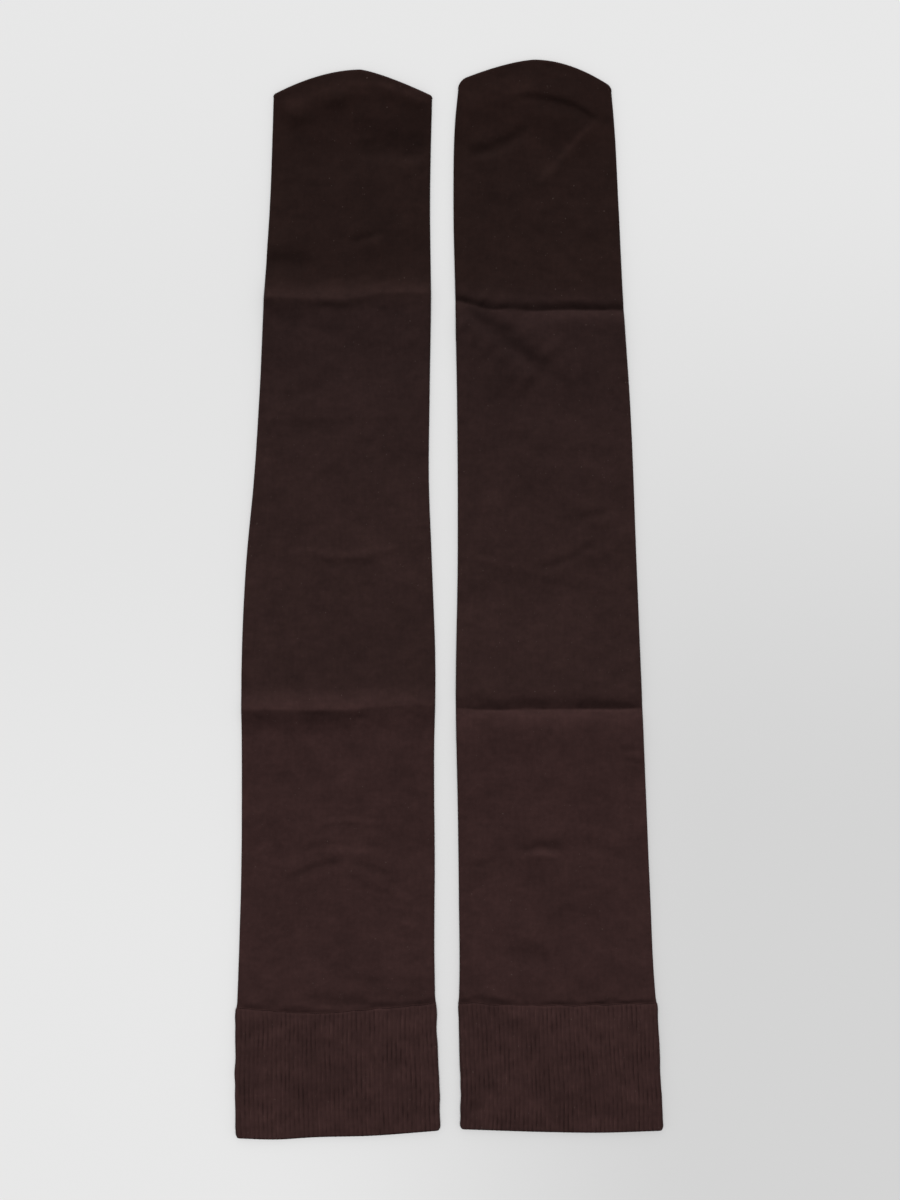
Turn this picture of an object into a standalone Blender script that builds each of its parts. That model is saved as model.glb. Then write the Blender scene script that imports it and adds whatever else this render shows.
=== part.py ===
"""A pair of long socks laid flat side by side, toes away from the viewer and cuffs near.

Each sock is two pieces. The leg is a plain knitted tube with no turned heel, closed along an arched toe.
The cuff is a thicker band of fine ribs, linked to the leg's open end and open at its own mouth.
Both are hollow walls pressed flat, so each one's upper layer lies on its lower layer.
X runs across the pair, Y up the legs towards the toes, and Z up from the surface that the socks lie on.
"""

import math
from collections import namedtuple

import bmesh
import bpy
import numpy as np

# A garment's outline, read up its length from the middle of the cuff's mouth
Section = namedtuple("Section", "along width drift")
# An edge that runs across a sock
Edge = namedtuple("Edge", "across along")
# How thick the leg's two layers lie together, at a distance from the cuff's seam
Loft = namedtuple("Loft", "distance thickness")
# The closed toe: an arch that drops from its peak to a left and a right corner
Toe = namedtuple(
    "Toe",
    "peak_share peak_along left_drop left_power left_corner right_drop right_power right_corner",
)
# A packing fold across the leg: a ridge stands up along its line, a valley lies between two raised sides
Fold = namedtuple("Fold", "kind along height above below strongest_share weakest_height")
# One sock of the pair, placed by the middle of its cuff's mouth
Sock = namedtuple("Sock", "name place_x place_y leg cuff seam mouth toe folds")
# A cuff's ring: its distance from the seam's or the mouth's edge, how high it spans, and its ribs' share
CuffRing = namedtuple("CuffRing", "end distance low high side_inset rib_share")
# A point of any ring: its share of the half width, its turn round a side fold, over or under, and its rib
Station = namedtuple("Station", "share turn level groove")

# Walls and layers
LEG_WALL = 0.0010
SIDE_FULLNESS = 0.0005
SIDE_FULLNESS_POWER = 6
SEAM_GAP = 0.0003

# Ribs of the cuff, counted over its upper face and side folds
RIBS = 46
RIB_DEPTH = 0.0005

# Rounded corners of a cuff's outline at its two ends
SEAM_CORNER = 0.0013
MOUTH_CORNER = 0.0020

# How far from a leg's ends its rows bend to follow the toe's arch and the seam
TOE_BLEND = 0.056
TOE_CORNER_BLEND = 0.014
SEAM_BLEND = 0.050

# Steps of the rings
LEG_FLAT_STEPS = 10
CUFF_UNDER_STEPS = 12
SIDE_MIDDLE = 90.0
SIDE_SHOULDER = 45.0
SMOOTH_ANGLE = 55.0

# Rows of the leg, as distances from its seam, from its toe's peak and from a fold's line
SEAM_ROWS = (0.0, 0.0022, 0.0060, 0.0110, 0.0190, 0.0320)
TOE_ROWS = (0.0400, 0.0270, 0.0165, 0.0090, 0.0045)
NOSE_TURNS = (90.0, 55.0, 25.0)
SLOPE_ROWS = (0.15, 0.50, 1.00)
FADE_ROWS = (1.9, 3.0)
PLAIN_ROW_STEP = 0.0300
CLOSEST_ROWS = 0.0090

# How a valley's raised sides fade, in slopes from its line, and how pointed a ridge is
VALLEY_REACH = 3.0
RIDGE_POWER = 1.7

LEG_LOFTS = (
    Loft(distance=0.000, thickness=0.0024),
    Loft(distance=0.005, thickness=0.0029),
    Loft(distance=0.012, thickness=0.0031),
    Loft(distance=0.032, thickness=0.0027),
    Loft(distance=0.060, thickness=0.0025),
    Loft(distance=0.540, thickness=0.0025),
    Loft(distance=0.575, thickness=0.0023),
)

CUFF_OUTSIDE = (
    CuffRing("seam", distance=0.0000, low=0.0, high=0.0026, side_inset=0.0006, rib_share=0.4),
    CuffRing("seam", distance=0.0009, low=0.0, high=0.0035, side_inset=0.0002, rib_share=0.7),
    CuffRing("seam", distance=0.0020, low=0.0, high=0.0040, side_inset=0.0001, rib_share=1.0),
    CuffRing("seam", distance=0.0036, low=0.0, high=0.0042, side_inset=0.0000, rib_share=1.0),
    CuffRing("seam", distance=0.0380, low=0.0, high=0.0042, side_inset=0.0000, rib_share=1.0),
    CuffRing("mouth", distance=0.0013, low=0.0, high=0.0042, side_inset=0.0000, rib_share=1.0),
    CuffRing("mouth", distance=0.0004, low=0.0002, high=0.0040, side_inset=0.0002, rib_share=1.0),
    CuffRing("mouth", distance=0.0000, low=0.0007, high=0.0035, side_inset=0.0006, rib_share=0.6),
)

CUFF_INSIDE = (
    CuffRing("seam", distance=0.0000, low=0.0010, high=0.0015, side_inset=0.0016, rib_share=0.0),
    CuffRing("seam", distance=0.0036, low=0.0018, high=0.0024, side_inset=0.0018, rib_share=0.0),
    CuffRing("mouth", distance=0.0011, low=0.0018, high=0.0024, side_inset=0.0018, rib_share=0.0),
    CuffRing("mouth", distance=0.0000, low=0.0013, high=0.0028, side_inset=0.0013, rib_share=0.0),
)

LEFT = Sock(
    name="left",
    place_x=-0.0677,
    place_y=-0.3270,
    leg=(
        Section(along=0.0740, width=0.1206, drift=-0.0010),
        Section(along=0.1082, width=0.1187, drift=-0.0007),
        Section(along=0.1689, width=0.1173, drift=0.0002),
        Section(along=0.2295, width=0.1167, drift=0.0001),
        Section(along=0.2840, width=0.1177, drift=0.0004),
        Section(along=0.3507, width=0.1125, drift=0.0008),
        Section(along=0.3993, width=0.1062, drift=0.0022),
        Section(along=0.4478, width=0.1034, drift=0.0040),
        Section(along=0.5084, width=0.1013, drift=0.0059),
        Section(along=0.5690, width=0.0970, drift=0.0075),
        Section(along=0.6330, width=0.0961, drift=0.0092),
    ),
    cuff=(
        Section(along=0.0000, width=0.1242, drift=0.0002),
        Section(along=0.0233, width=0.1242, drift=-0.0003),
        Section(along=0.0476, width=0.1228, drift=-0.0008),
        Section(along=0.0820, width=0.1222, drift=-0.0012),
    ),
    seam=(
        Edge(across=-0.0615, along=0.0788),
        Edge(across=-0.0170, along=0.0760),
        Edge(across=0.0230, along=0.0785),
        Edge(across=0.0600, along=0.0818),
    ),
    mouth=(
        Edge(across=-0.0620, along=0.0002),
        Edge(across=-0.0370, along=-0.0005),
        Edge(across=-0.0150, along=0.0008),
        Edge(across=0.0210, along=0.0018),
        Edge(across=0.0610, along=0.0048),
    ),
    toe=Toe(
        peak_share=0.09,
        peak_along=0.6483,
        left_drop=0.0152,
        left_power=1.83,
        left_corner=0.0012,
        right_drop=0.0160,
        right_power=1.30,
        right_corner=0.0014,
    ),
    folds=(
        Fold("ridge", 0.2610, height=0.0021, above=0.012, below=0.015, strongest_share=-0.2, weakest_height=0.65),
        Fold("ridge", 0.5108, height=0.0021, above=0.014, below=0.009, strongest_share=0.1, weakest_height=0.60),
    ),
)

RIGHT = Sock(
    name="right",
    place_x=0.0681,
    place_y=-0.3229,
    leg=(
        Section(along=0.0740, width=0.1201, drift=-0.0024),
        Section(along=0.0920, width=0.1182, drift=-0.0029),
        Section(along=0.1405, width=0.1162, drift=-0.0042),
        Section(along=0.1890, width=0.1147, drift=-0.0055),
        Section(along=0.2617, width=0.1130, drift=-0.0077),
        Section(along=0.3466, width=0.1085, drift=-0.0088),
        Section(along=0.4436, width=0.1049, drift=-0.0110),
        Section(along=0.5043, width=0.1017, drift=-0.0136),
        Section(along=0.5649, width=0.1000, drift=-0.0156),
        Section(along=0.6134, width=0.0962, drift=-0.0164),
        Section(along=0.6360, width=0.0920, drift=-0.0163),
    ),
    cuff=(
        Section(along=0.0000, width=0.1234, drift=0.0000),
        Section(along=0.0192, width=0.1222, drift=-0.0002),
        Section(along=0.0435, width=0.1214, drift=-0.0011),
        Section(along=0.0780, width=0.1214, drift=-0.0023),
    ),
    seam=(
        Edge(across=-0.0630, along=0.0780),
        Edge(across=-0.0020, along=0.0763),
        Edge(across=0.0585, along=0.0780),
    ),
    mouth=(
        Edge(across=-0.0615, along=0.0016),
        Edge(across=-0.0080, along=-0.0001),
        Edge(across=0.0220, along=-0.0005),
        Edge(across=0.0615, along=0.0007),
    ),
    toe=Toe(
        peak_share=0.00,
        peak_along=0.6502,
        left_drop=0.0128,
        left_power=1.50,
        left_corner=0.0050,
        right_drop=0.0165,
        right_power=1.90,
        right_corner=0.0025,
    ),
    folds=(
        Fold("valley", 0.2569, height=0.0018, above=0.008, below=0.012, strongest_share=0.1, weakest_height=0.70),
        Fold("valley", 0.4997, height=0.0019, above=0.006, below=0.016, strongest_share=0.3, weakest_height=0.55),
    ),
)

PLAIN_KNIT_COLOUR = (0.0265, 0.0145, 0.0137, 1.0)
RIBBED_KNIT_COLOUR = (0.0356, 0.0185, 0.0178, 1.0)
KNIT_ROUGHNESS = 0.9


def read_curve(rows, place, column):
    """A table's column at a place, on a smooth curve through its rows, level beyond its ends."""
    places = np.array([row[0] for row in rows])
    values = np.array([getattr(row, column) for row in rows])
    if place <= places[0]:
        return float(values[0])
    if place >= places[-1]:
        return float(values[-1])
    slopes = np.gradient(values, places)
    span = int(np.searchsorted(places, place)) - 1
    length = places[span + 1] - places[span]
    share = (place - places[span]) / length
    rest = 1.0 - share
    start = rest * rest * ((1.0 + 2.0 * share) * values[span] + share * length * slopes[span])
    end = share * share * ((1.0 + 2.0 * rest) * values[span + 1] - rest * length * slopes[span + 1])
    return float(start + end)


def eased(share):
    """A share from 0 to 1 that starts and ends softly."""
    share = min(max(share, 0.0), 1.0)
    return share * share * (3.0 - 2.0 * share)


def corner_drop(distance, radius):
    """How far a rounded corner falls away from its edge, at a distance from the edge's end."""
    inside = min(max(radius - distance, 0.0), radius)
    return radius - math.sqrt(radius ** 2 - inside ** 2)


def fold_lift(fold, along, share):
    """How far a packing fold lifts both layers off the surface."""
    offset = along - fold.along
    run = abs(offset) / (fold.above if offset > 0.0 else fold.below)
    weaker = min(abs(share - fold.strongest_share), 1.0)
    height = fold.height * (1.0 - (1.0 - fold.weakest_height) * weaker)
    if fold.kind == "ridge":
        return height * max(1.0 - run, 0.0) ** RIDGE_POWER
    if run <= 1.0:
        return height * math.sin(run * math.pi / 2.0)
    return height * (1.0 - eased((run - 1.0) / (VALLEY_REACH - 1.0)))


def toe_drops(toe, share, half_width):
    """How far the toe's edge lies below its peak: along its arch, and round its corner."""
    if share < toe.peak_share:
        reach = (toe.peak_share - share) / (toe.peak_share + 1.0)
        arch = toe.left_drop * reach ** toe.left_power
    else:
        reach = (share - toe.peak_share) / (1.0 - toe.peak_share)
        arch = toe.right_drop * reach ** toe.right_power
    corner_radius = toe.left_corner if share < 0.0 else toe.right_corner
    return arch, corner_drop((1.0 - abs(share)) * half_width, corner_radius)


def leg_along(sock, row, share):
    """A leg row's place at a share of the half width: rows bend to the toe's arch and to the seam."""
    from_peak = sock.toe.peak_along - row
    arch, corner = toe_drops(sock.toe, share, sock.leg[-1].width / 2.0)
    toe_bend = arch * eased(1.0 - from_peak / TOE_BLEND) + corner * eased(1.0 - from_peak / TOE_CORNER_BLEND)
    seam_start = sock.seam[0].along
    seam_across = sock.leg[0].drift + share * sock.leg[0].width / 2.0
    seam_rise = read_curve(sock.seam, seam_across, "along") - seam_start
    return row - toe_bend + seam_rise * eased(1.0 - (row - seam_start) / SEAM_BLEND)


def leg_side(sock, row, side):
    """The place across the sock of a row's side fold."""
    along = leg_along(sock, row, side)
    return read_curve(sock.leg, along, "drift") + side * read_curve(sock.leg, along, "width") / 2.0


def ring_stations(over, under_shares, shoulder_groove):
    """The places round a flattened tube: over it from left to right, then back under it."""
    under = [Station(share, 0.0, -1.0, 0.0) for share in reversed(under_shares)]
    return (
        [Station(-1.0, SIDE_MIDDLE, 1.0, 0.0), Station(-1.0, SIDE_SHOULDER, 1.0, shoulder_groove)]
        + over
        + [Station(1.0, SIDE_SHOULDER, 1.0, shoulder_groove), Station(1.0, SIDE_MIDDLE, 1.0, 0.0)]
        + [Station(1.0, SIDE_SHOULDER, -1.0, 0.0)]
        + under
        + [Station(-1.0, SIDE_SHOULDER, -1.0, 0.0)]
    )


def leg_stations():
    """A leg ring's stations, closer together towards the side folds."""
    turns = np.linspace(-math.pi / 2.0, math.pi / 2.0, LEG_FLAT_STEPS + 1)
    shares = [math.sin(turn) for turn in turns]
    over = [Station(share, 0.0, 1.0, 0.0) for share in shares]
    return ring_stations(over, shares, 0.0)


def cuff_stations():
    """A cuff ring's stations: a crest and a groove for each rib over it, plain under it."""
    flat_steps = 2 * (RIBS - 2)
    over = [Station(2.0 * step / flat_steps - 1.0, 0.0, 1.0, step % 2) for step in range(flat_steps + 1)]
    under_shares = list(np.linspace(-1.0, 1.0, CUFF_UNDER_STEPS + 1))
    return ring_stations(over, under_shares, 1.0)


def tube_point(station, middle, half_width, fold_radius, low, high, cut):
    """A station's place across the sock and above the surface, on a skin that spans low to high."""
    turn = math.radians(station.turn)
    flat_half = half_width - fold_radius
    across = middle + station.share * (flat_half + (fold_radius - cut) * math.sin(turn))
    up = (low + high) / 2.0 + station.level * ((high - low) / 2.0 - cut) * math.cos(turn)
    return across, up


def leg_ring(sock, row, inset, spread):
    """A ring of a leg's skin, inset from its outer face, its thickness a spread share of the full one."""
    left = leg_side(sock, row, -1.0)
    right = leg_side(sock, row, 1.0)
    middle = (left + right) / 2.0
    half_width = (right - left) / 2.0 - inset
    loft = read_curve(LEG_LOFTS, row - sock.seam[0].along, "thickness")
    fold_radius = (loft + SIDE_FULLNESS) / 2.0 - inset
    points = []
    for station in leg_stations():
        full = loft + SIDE_FULLNESS * abs(station.share) ** SIDE_FULLNESS_POWER
        half_skin = (full / 2.0 - inset) * spread
        low = full / 2.0 - half_skin
        high = full / 2.0 + half_skin
        across, up = tube_point(station, middle, half_width, fold_radius, low, high, cut=0.0)
        reach = (across - middle) / half_width
        along = leg_along(sock, row, reach)
        lift = sum(fold_lift(fold, along, reach) for fold in sock.folds)
        points.append((across, along, up + lift))
    return points


def leg_rows(sock):
    """The places of a leg's rings, close together where it bends and far apart where it is plain."""
    seam = sock.seam[0].along + SEAM_GAP / 2.0
    peak = sock.toe.peak_along
    bends = [seam + distance for distance in SEAM_ROWS]
    bends += [peak - distance for distance in TOE_ROWS]
    for fold in sock.folds:
        runs = SLOPE_ROWS if fold.kind == "ridge" else SLOPE_ROWS + FADE_ROWS
        bends.append(fold.along)
        bends += [fold.along + run * fold.above for run in runs]
        bends += [fold.along - run * fold.below for run in runs]
    plain = np.arange(seam + PLAIN_ROW_STEP, peak - PLAIN_ROW_STEP, PLAIN_ROW_STEP)
    clear = [row for row in plain if min(abs(row - bend) for bend in bends) > CLOSEST_ROWS]
    return sorted(bends + clear)


def leg_skins(sock):
    """The rings of a leg's outer and inner skins, each from the seam to the toe's edge."""
    rows = leg_rows(sock)
    nose_radius = LEG_LOFTS[-1].thickness / 2.0
    outer = [leg_ring(sock, row, 0.0, 1.0) for row in rows]
    for turn in NOSE_TURNS:
        depth = nose_radius * (1.0 - math.cos(math.radians(turn)))
        outer.append(leg_ring(sock, sock.toe.peak_along - depth, 0.0, math.sin(math.radians(turn))))
    inner = [leg_ring(sock, row, LEG_WALL, 1.0) for row in rows]
    inner.append(leg_ring(sock, sock.toe.peak_along - 2.0 * LEG_WALL, LEG_WALL, 1.0))
    return outer, inner


def cuff_along(sock, ring, across, from_side):
    """A cuff ring's place along the sock, measured from the seam's edge or from the mouth's."""
    if ring.end == "mouth":
        mouth = read_curve(sock.mouth, across, "along") + corner_drop(from_side, MOUTH_CORNER)
        return mouth + ring.distance
    seam = read_curve(sock.seam, across, "along") - corner_drop(from_side, SEAM_CORNER)
    return seam - SEAM_GAP / 2.0 - ring.distance


def cuff_ring(sock, ring):
    """A ring of a cuff's skin."""
    nominal = ring.distance if ring.end == "mouth" else sock.seam[0].along - ring.distance
    middle = read_curve(sock.cuff, nominal, "drift")
    outer_half = read_curve(sock.cuff, nominal, "width") / 2.0
    half_width = outer_half - ring.side_inset
    fold_radius = (ring.high - ring.low) / 2.0
    points = []
    for station in cuff_stations():
        cut = station.groove * ring.rib_share * RIB_DEPTH
        across, up = tube_point(station, middle, half_width, fold_radius, ring.low, ring.high, cut)
        along = cuff_along(sock, ring, across, from_side=outer_half - abs(across - middle))
        points.append((across, along, up))
    return points


def cuff_skins(sock):
    """The rings of a cuff's outer and inner skins, each from the seam to the mouth."""
    outer = [cuff_ring(sock, ring) for ring in CUFF_OUTSIDE]
    inner = [cuff_ring(sock, ring) for ring in CUFF_INSIDE]
    return outer, inner


def add_ring(bm, points, origin_along):
    """Adds a closed loop of edges through the points, and returns its vertices and its edges."""
    verts = [bm.verts.new((across, along - origin_along, up)) for across, along, up in points]
    edges = [bm.edges.new((verts[step - 1], verts[step])) for step in range(len(verts))]
    return verts, edges


def add_skin(bm, rings, origin_along):
    """Bridges the rings in turn, and returns the vertices of the first ring and of the last."""
    loops = [add_ring(bm, points, origin_along) for points in rings]
    for (_, lower_edges), (_, upper_edges) in zip(loops, loops[1:]):
        bmesh.ops.bridge_loops(bm, edges=lower_edges + upper_edges)
    return loops[0][0], loops[-1][0]


def close_end(bm, outer, inner):
    """Closes a wall's cut end with a strip of faces between its outer and inner rings."""
    for step in range(len(outer)):
        bm.faces.new((outer[step - 1], outer[step], inner[step], inner[step - 1]))


def close_toe(bm, verts):
    """Closes a skin's last ring with a strip of faces between its upper and lower points."""
    count = len(verts)
    for step in range(count // 2):
        corners = (verts[step], verts[step + 1], verts[count - step - 1], verts[(count - step) % count])
        bm.faces.new(tuple(dict.fromkeys(corners)))


def make_material(name, colour):
    """A dull knitted finish."""
    material = bpy.data.materials.new(name)
    material.use_nodes = True
    shader = material.node_tree.nodes["Principled BSDF"]
    shader.inputs["Base Color"].default_value = colour
    shader.inputs["Roughness"].default_value = KNIT_ROUGHNESS
    shader.inputs["Metallic"].default_value = 0.0
    return material


def make_piece(name, bm, material, parent, origin_along):
    """Makes a named object of a finished shape, placed up its sock from the mouth."""
    bmesh.ops.recalc_face_normals(bm, faces=bm.faces)
    mesh = bpy.data.meshes.new(name)
    bm.to_mesh(mesh)
    bm.free()
    mesh.materials.append(material)
    mesh.shade_smooth()
    mesh.set_sharp_from_angle(angle=math.radians(SMOOTH_ANGLE))
    piece = bpy.data.objects.new(name, mesh)
    bpy.context.collection.objects.link(piece)
    piece.parent = parent
    piece.location = (0.0, origin_along, 0.0)
    return piece


def make_leg(sock, parent):
    """The plain knitted leg and foot: a flattened tube, open at the seam and closed at the toe."""
    origin_along = sock.seam[0].along
    outer, inner = leg_skins(sock)
    bm = bmesh.new()
    outer_open, outer_toe = add_skin(bm, outer, origin_along)
    inner_open, inner_toe = add_skin(bm, inner, origin_along)
    close_end(bm, outer_open, inner_open)
    close_toe(bm, outer_toe)
    close_toe(bm, inner_toe)
    material = make_material(f"{sock.name}_plain_knit", PLAIN_KNIT_COLOUR)
    return make_piece(f"{sock.name}_leg", bm, material, parent, origin_along)


def make_cuff(sock, parent):
    """The ribbed cuff: a flattened band, open at the seam and at the mouth."""
    outer, inner = cuff_skins(sock)
    bm = bmesh.new()
    outer_seam, outer_mouth = add_skin(bm, outer, 0.0)
    inner_seam, inner_mouth = add_skin(bm, inner, 0.0)
    close_end(bm, outer_seam, inner_seam)
    close_end(bm, outer_mouth, inner_mouth)
    material = make_material(f"{sock.name}_ribbed_knit", RIBBED_KNIT_COLOUR)
    return make_piece(f"{sock.name}_cuff", bm, material, parent, 0.0)


def make_sock(sock):
    """One sock: an empty at the middle of the cuff's mouth, with the leg and the cuff on it."""
    place = bpy.data.objects.new(f"{sock.name}_sock", None)
    bpy.context.collection.objects.link(place)
    place.location = (sock.place_x, sock.place_y, 0.0)
    make_leg(sock, place)
    make_cuff(sock, place)


for old in list(bpy.data.objects):
    bpy.data.objects.remove(old, do_unlink=True)

for each in (LEFT, RIGHT):
    make_sock(each)
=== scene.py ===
"""The looks of a pair of long socks laid flat side by side, toes away from the viewer and cuffs near.

Each sock gets a plain knitted leg, a ribbed cuff, a linking row where the two meet and another along its
toe. X runs across the pair, Y up the legs towards the toes, Z up from the surface that the socks lie on.
Sizes are in metres, but the creases, the folds' strays and the camera's lens and sensor are in millimetres.
"""

import math
from collections import namedtuple

import bpy
import numpy as np
from bpy.props import FloatProperty, FloatVectorProperty, IntProperty, PointerProperty
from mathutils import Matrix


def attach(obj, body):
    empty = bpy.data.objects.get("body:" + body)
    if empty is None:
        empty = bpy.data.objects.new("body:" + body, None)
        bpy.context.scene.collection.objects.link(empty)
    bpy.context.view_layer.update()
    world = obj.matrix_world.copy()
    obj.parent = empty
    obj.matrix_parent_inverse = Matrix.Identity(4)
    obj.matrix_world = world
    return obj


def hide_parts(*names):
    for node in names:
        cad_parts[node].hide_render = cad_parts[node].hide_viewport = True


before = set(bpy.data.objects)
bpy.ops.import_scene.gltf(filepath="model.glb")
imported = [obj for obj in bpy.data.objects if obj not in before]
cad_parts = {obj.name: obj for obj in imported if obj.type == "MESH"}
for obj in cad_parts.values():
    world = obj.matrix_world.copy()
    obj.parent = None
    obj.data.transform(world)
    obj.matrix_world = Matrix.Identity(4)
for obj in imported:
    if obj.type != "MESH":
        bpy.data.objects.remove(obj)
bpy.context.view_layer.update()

bl_info = {
    "name": "Pair of long socks",
    "version": (1, 0, 0),
    "blender": (4, 5, 0),
    "location": "3D View > Sidebar > Socks",
    "description": "Knits the legs, cuffs and linking rows of a pair of long socks, and sets their stage",
    "category": "Object",
}

# ---- What the tables hold ----

# A garment's outline, read up its length from the middle of the cuff's mouth
Section = namedtuple("Section", "along width drift")
# An edge that runs across a sock
Edge = namedtuple("Edge", "across along")
# How thick the leg's two layers lie together, at a distance from the cuff's seam
Loft = namedtuple("Loft", "distance thickness")
# How the cuff rises from its seam's edge
Shoulder = namedtuple("Shoulder", "distance high side_inset rib_share")
# One side of a toe's arch, and the rounded corner that it ends in
ToeSide = namedtuple("ToeSide", "drop power corner")
# The closed toe: an arch that drops from its peak to both sides
Toe = namedtuple("Toe", "peak_share peak_along left right")
# How far a fold's line strays up the leg at a share of the half width, in millimetres
Stray = namedtuple("Stray", "share up")
# A packing fold across the leg: a ridge stands up along its line, a valley lies between two raised sides
Fold = namedtuple("Fold", "kind along height above below strongest_share weakest_height line")
# A crease in a leg's upper or under layer, in millimetres from the middle of the cuff's mouth
Crease = namedtuple("Crease", "layer start end bow height above below")
# One sock of the pair, placed by the middle of its cuff's mouth
Sock = namedtuple("Sock", "name place_x place_y leg cuff seam mouth toe folds creases seed")
# A soft unevenness: a number added to the seed, the shortest and longest wave, their height and count
Waves = namedtuple("Waves", "number shortest longest height count", defaults=(40,))
# The points round a tube: share of the half width, turn round a side fold, over or under
Stations = namedtuple("Stations", "share turn level")
# A grid of points on a skin: a line for each ring, and a column for each station
Grid = namedtuple("Grid", "across along up")
# A layer of mottling in the yarn: the size of its grains, how they are stretched, and how far it swings
Mottle = namedtuple("Mottle", "scale stretch swing")
# The finish of a kind of knit: how loopy its stitches are, the painted shade in its hollows, the painted
# highlight on its crests, how mottled it is, and its bump
Finish = namedtuple("Finish", "loopiness hollow_shade crest_gleam mottle bump")

MM = 0.001
OVER = 1.0
UNDER = -1.0

# ---- Form: the same as the solids' ----

SIDE_FULLNESS = 0.0005
SIDE_FULLNESS_POWER = 6
SEAM_GAP = 0.0003
SEAM_CORNER = 0.0009
MOUTH_CORNER = 0.0024
CORNER_FADE = 0.0080
SEAM_FLARE = 0.0003
SEAM_FLARE_LENGTH = 0.0040
TOE_BLEND = 0.056
TOE_CORNER_BLEND = 0.014
SEAM_BLEND = 0.050
VALLEY_REACH_ABOVE = 7.0
VALLEY_REACH_BELOW = 6.0
RIDGE_POWER = 1.7
RIDGE_ROUNDING = 0.0009

# ---- Creases, and the cloth's unevenness ----

SEEDS_A_SOCK = 100
WAVE_SPREAD = 0.9
RAISED_SIDES = 3.0
CREASE_REACH = 2.2
CREASE_FADE = 0.0090
LONGEST_FADE = 0.4
INNER_FOLLOWS = 0.7
SIDE_STILLNESS = 0.9
# How far a crease is pressed in, or stands up, where the painted shade in its hollow or the painted
# highlight on its ridge is full
HOLLOW_FULL = 0.0008
SEAM_WANDER = Waves(20, 0.005, 0.020, 0.00022)
FOLD_WANDER = Waves(5, 0.025, 0.090, 0.0003)
CREASE_WANDER = Waves(0, 0.012, 0.040, 0.0003, 12)
CREASE_UNEVENNESS = Waves(1, 0.008, 0.030, 0.18, 8)
SMALL_RIPPLE = Waves(1, 0.005, 0.016, 0.5)
LARGE_RIPPLE = Waves(2, 0.016, 0.060, 1.0)

# ---- The legs' points ----

# In degrees, as is NOSE_LAST_TURN
SMOOTH_ANGLE = 55.0
LEG_COARSE_ROW = 0.0017
LEG_FINE_ROW = 0.0005
LEG_FINE_REACH = 0.0150
INNER_COARSE_ROW = 0.0090
INNER_FINE_ROW = 0.0025
FLAT_STEPS = 90
SIDE_STEPS = 3
SIDE_CROWDING = 0.5
NOSE_START = 0.0020
NOSE_STEPS = 6
NOSE_LAST_TURN = 12.0
AREA_ROWS = 400
AREA_SHARES = 101

# ---- The cuffs' points and ribs ----

CUFF_WALL = 0.0018
CUFF_HIGH = 0.0042
CUFF_ROW = 0.0016
CLEAR_OF_RIM = CUFF_ROW / 3.0
CUFF_SIDE_STEPS = 8
SHOULDER_RINGS = (0.0, 0.0003, 0.0006, 0.0010, 0.0015, 0.0021, 0.0028, 0.0037, 0.0050)
INSIDE_RINGS = (0.0022, 0.0040, 0.0070, 0.0120, 0.0300, 0.0550, 0.0740)
RIM_STEPS = 8
# How far round the rim, in radians, a ring has left the ribs' sway, left the outer face, and gone inside
RIM_STARTED = 0.5
RIM_CRESTED = 1.5
TURNED_IN = 3.0
TURNED_RIBS = 0.0070
SEAM_TURNING = 0.0036
SEAM_TURNING_SIDE = 0.0008
SEAM_TURNING_TOP = 0.0019
RIB_POINTS = 8
WALES_A_RIB = 3
GROOVE_SHARPNESS = 4.2
CREST_SHARPNESS = 6.0
CREST_ASIDE = 0.22
STEADY_GROOVE = 0.5
# How far apart two neighbouring ribs are in the waves that make each one uneven, in ribs
RIBS_APART = 3.0
SWAY_LENGTHENED = 0.3
RIB_SWAY = Waves(7, 0.008, 0.040, 0.10)
# Painted shade in the grooves and a painted highlight on the crests, in patches that differ from rib to rib;
# the grooves' shade also sets part of their depth
GROOVE_DARKNESS = 0.50
GROOVE_PATCHES = Waves(8, 0.014, 0.050, 0.28)
GROOVE_BREAKS = Waves(9, 0.005, 0.012, 0.26)
GROOVE_LIMITS = (0.06, 1.20)
BAND_DARKNESS = 0.88
BAND_PATCHES = Waves(12, 0.014, 0.050, 0.30)
BAND_LIMITS = (0.3, 1.3)
CREST_PAINTED_HIGHLIGHT = 0.20
CREST_PATCHES = Waves(10, 0.006, 0.024, 0.40)
CUFF_RIPPLE = Waves(9, 0.010, 0.040, 0.00013)
UNDER_RIPPLE = 0.5

# ---- The linking rows' stitches ----

LINK_SIDES = (12, 5)
LINK_LOOP = 0.36
LINK_DRAWN_OUT = (1.45, 0.85, 1.0)
LINK_PINCH = 0.35
LINK_TILT = 0.4
LINK_SUNK = 0.00016
LINK_LIFT = 0.00036
LINK_LEAN_ACROSS = 1.0 / 40.0
TOE_LINK_SUNK = 0.6
TOE_LINE_SPREAD = 0.001

# ---- The yarn's looks, with painted light and shade ----

# Where each colour stands up the pair, as a share of YARN_FROM to YARN_TO. The yarn is one brown: its
# darkening from the cuff to the toe, in steps at the two folds, is painted light, as if more light fell on
# the cuffs
YARN_FROM = -0.33
YARN_TO = 0.33
YARN_STOPS_WITH_PAINTED_LIGHT = (
    (0.10, "cuff"),
    (0.16, "calf"),
    (0.385, "calf"),
    (0.425, "leg"),
    (0.55, "leg"),
    (0.755, "instep"),
    (0.80, "foot"),
    (0.895, "foot"),
    (0.935, "toe"),
)
EVEN = (1.0, 1.0, 1.0)
WIDE_MOTTLES = (Mottle(20.0, EVEN, 0.15), Mottle(52.0, EVEN, 0.20), Mottle(120.0, EVEN, 0.17))
FINE_MOTTLES = (
    Mottle(360.0, EVEN, 0.20),
    Mottle(420.0, (0.12, 1.0, 1.0), 0.06),
    Mottle(620.0, (1.0, 0.10, 1.0), 0.08),
)
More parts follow.
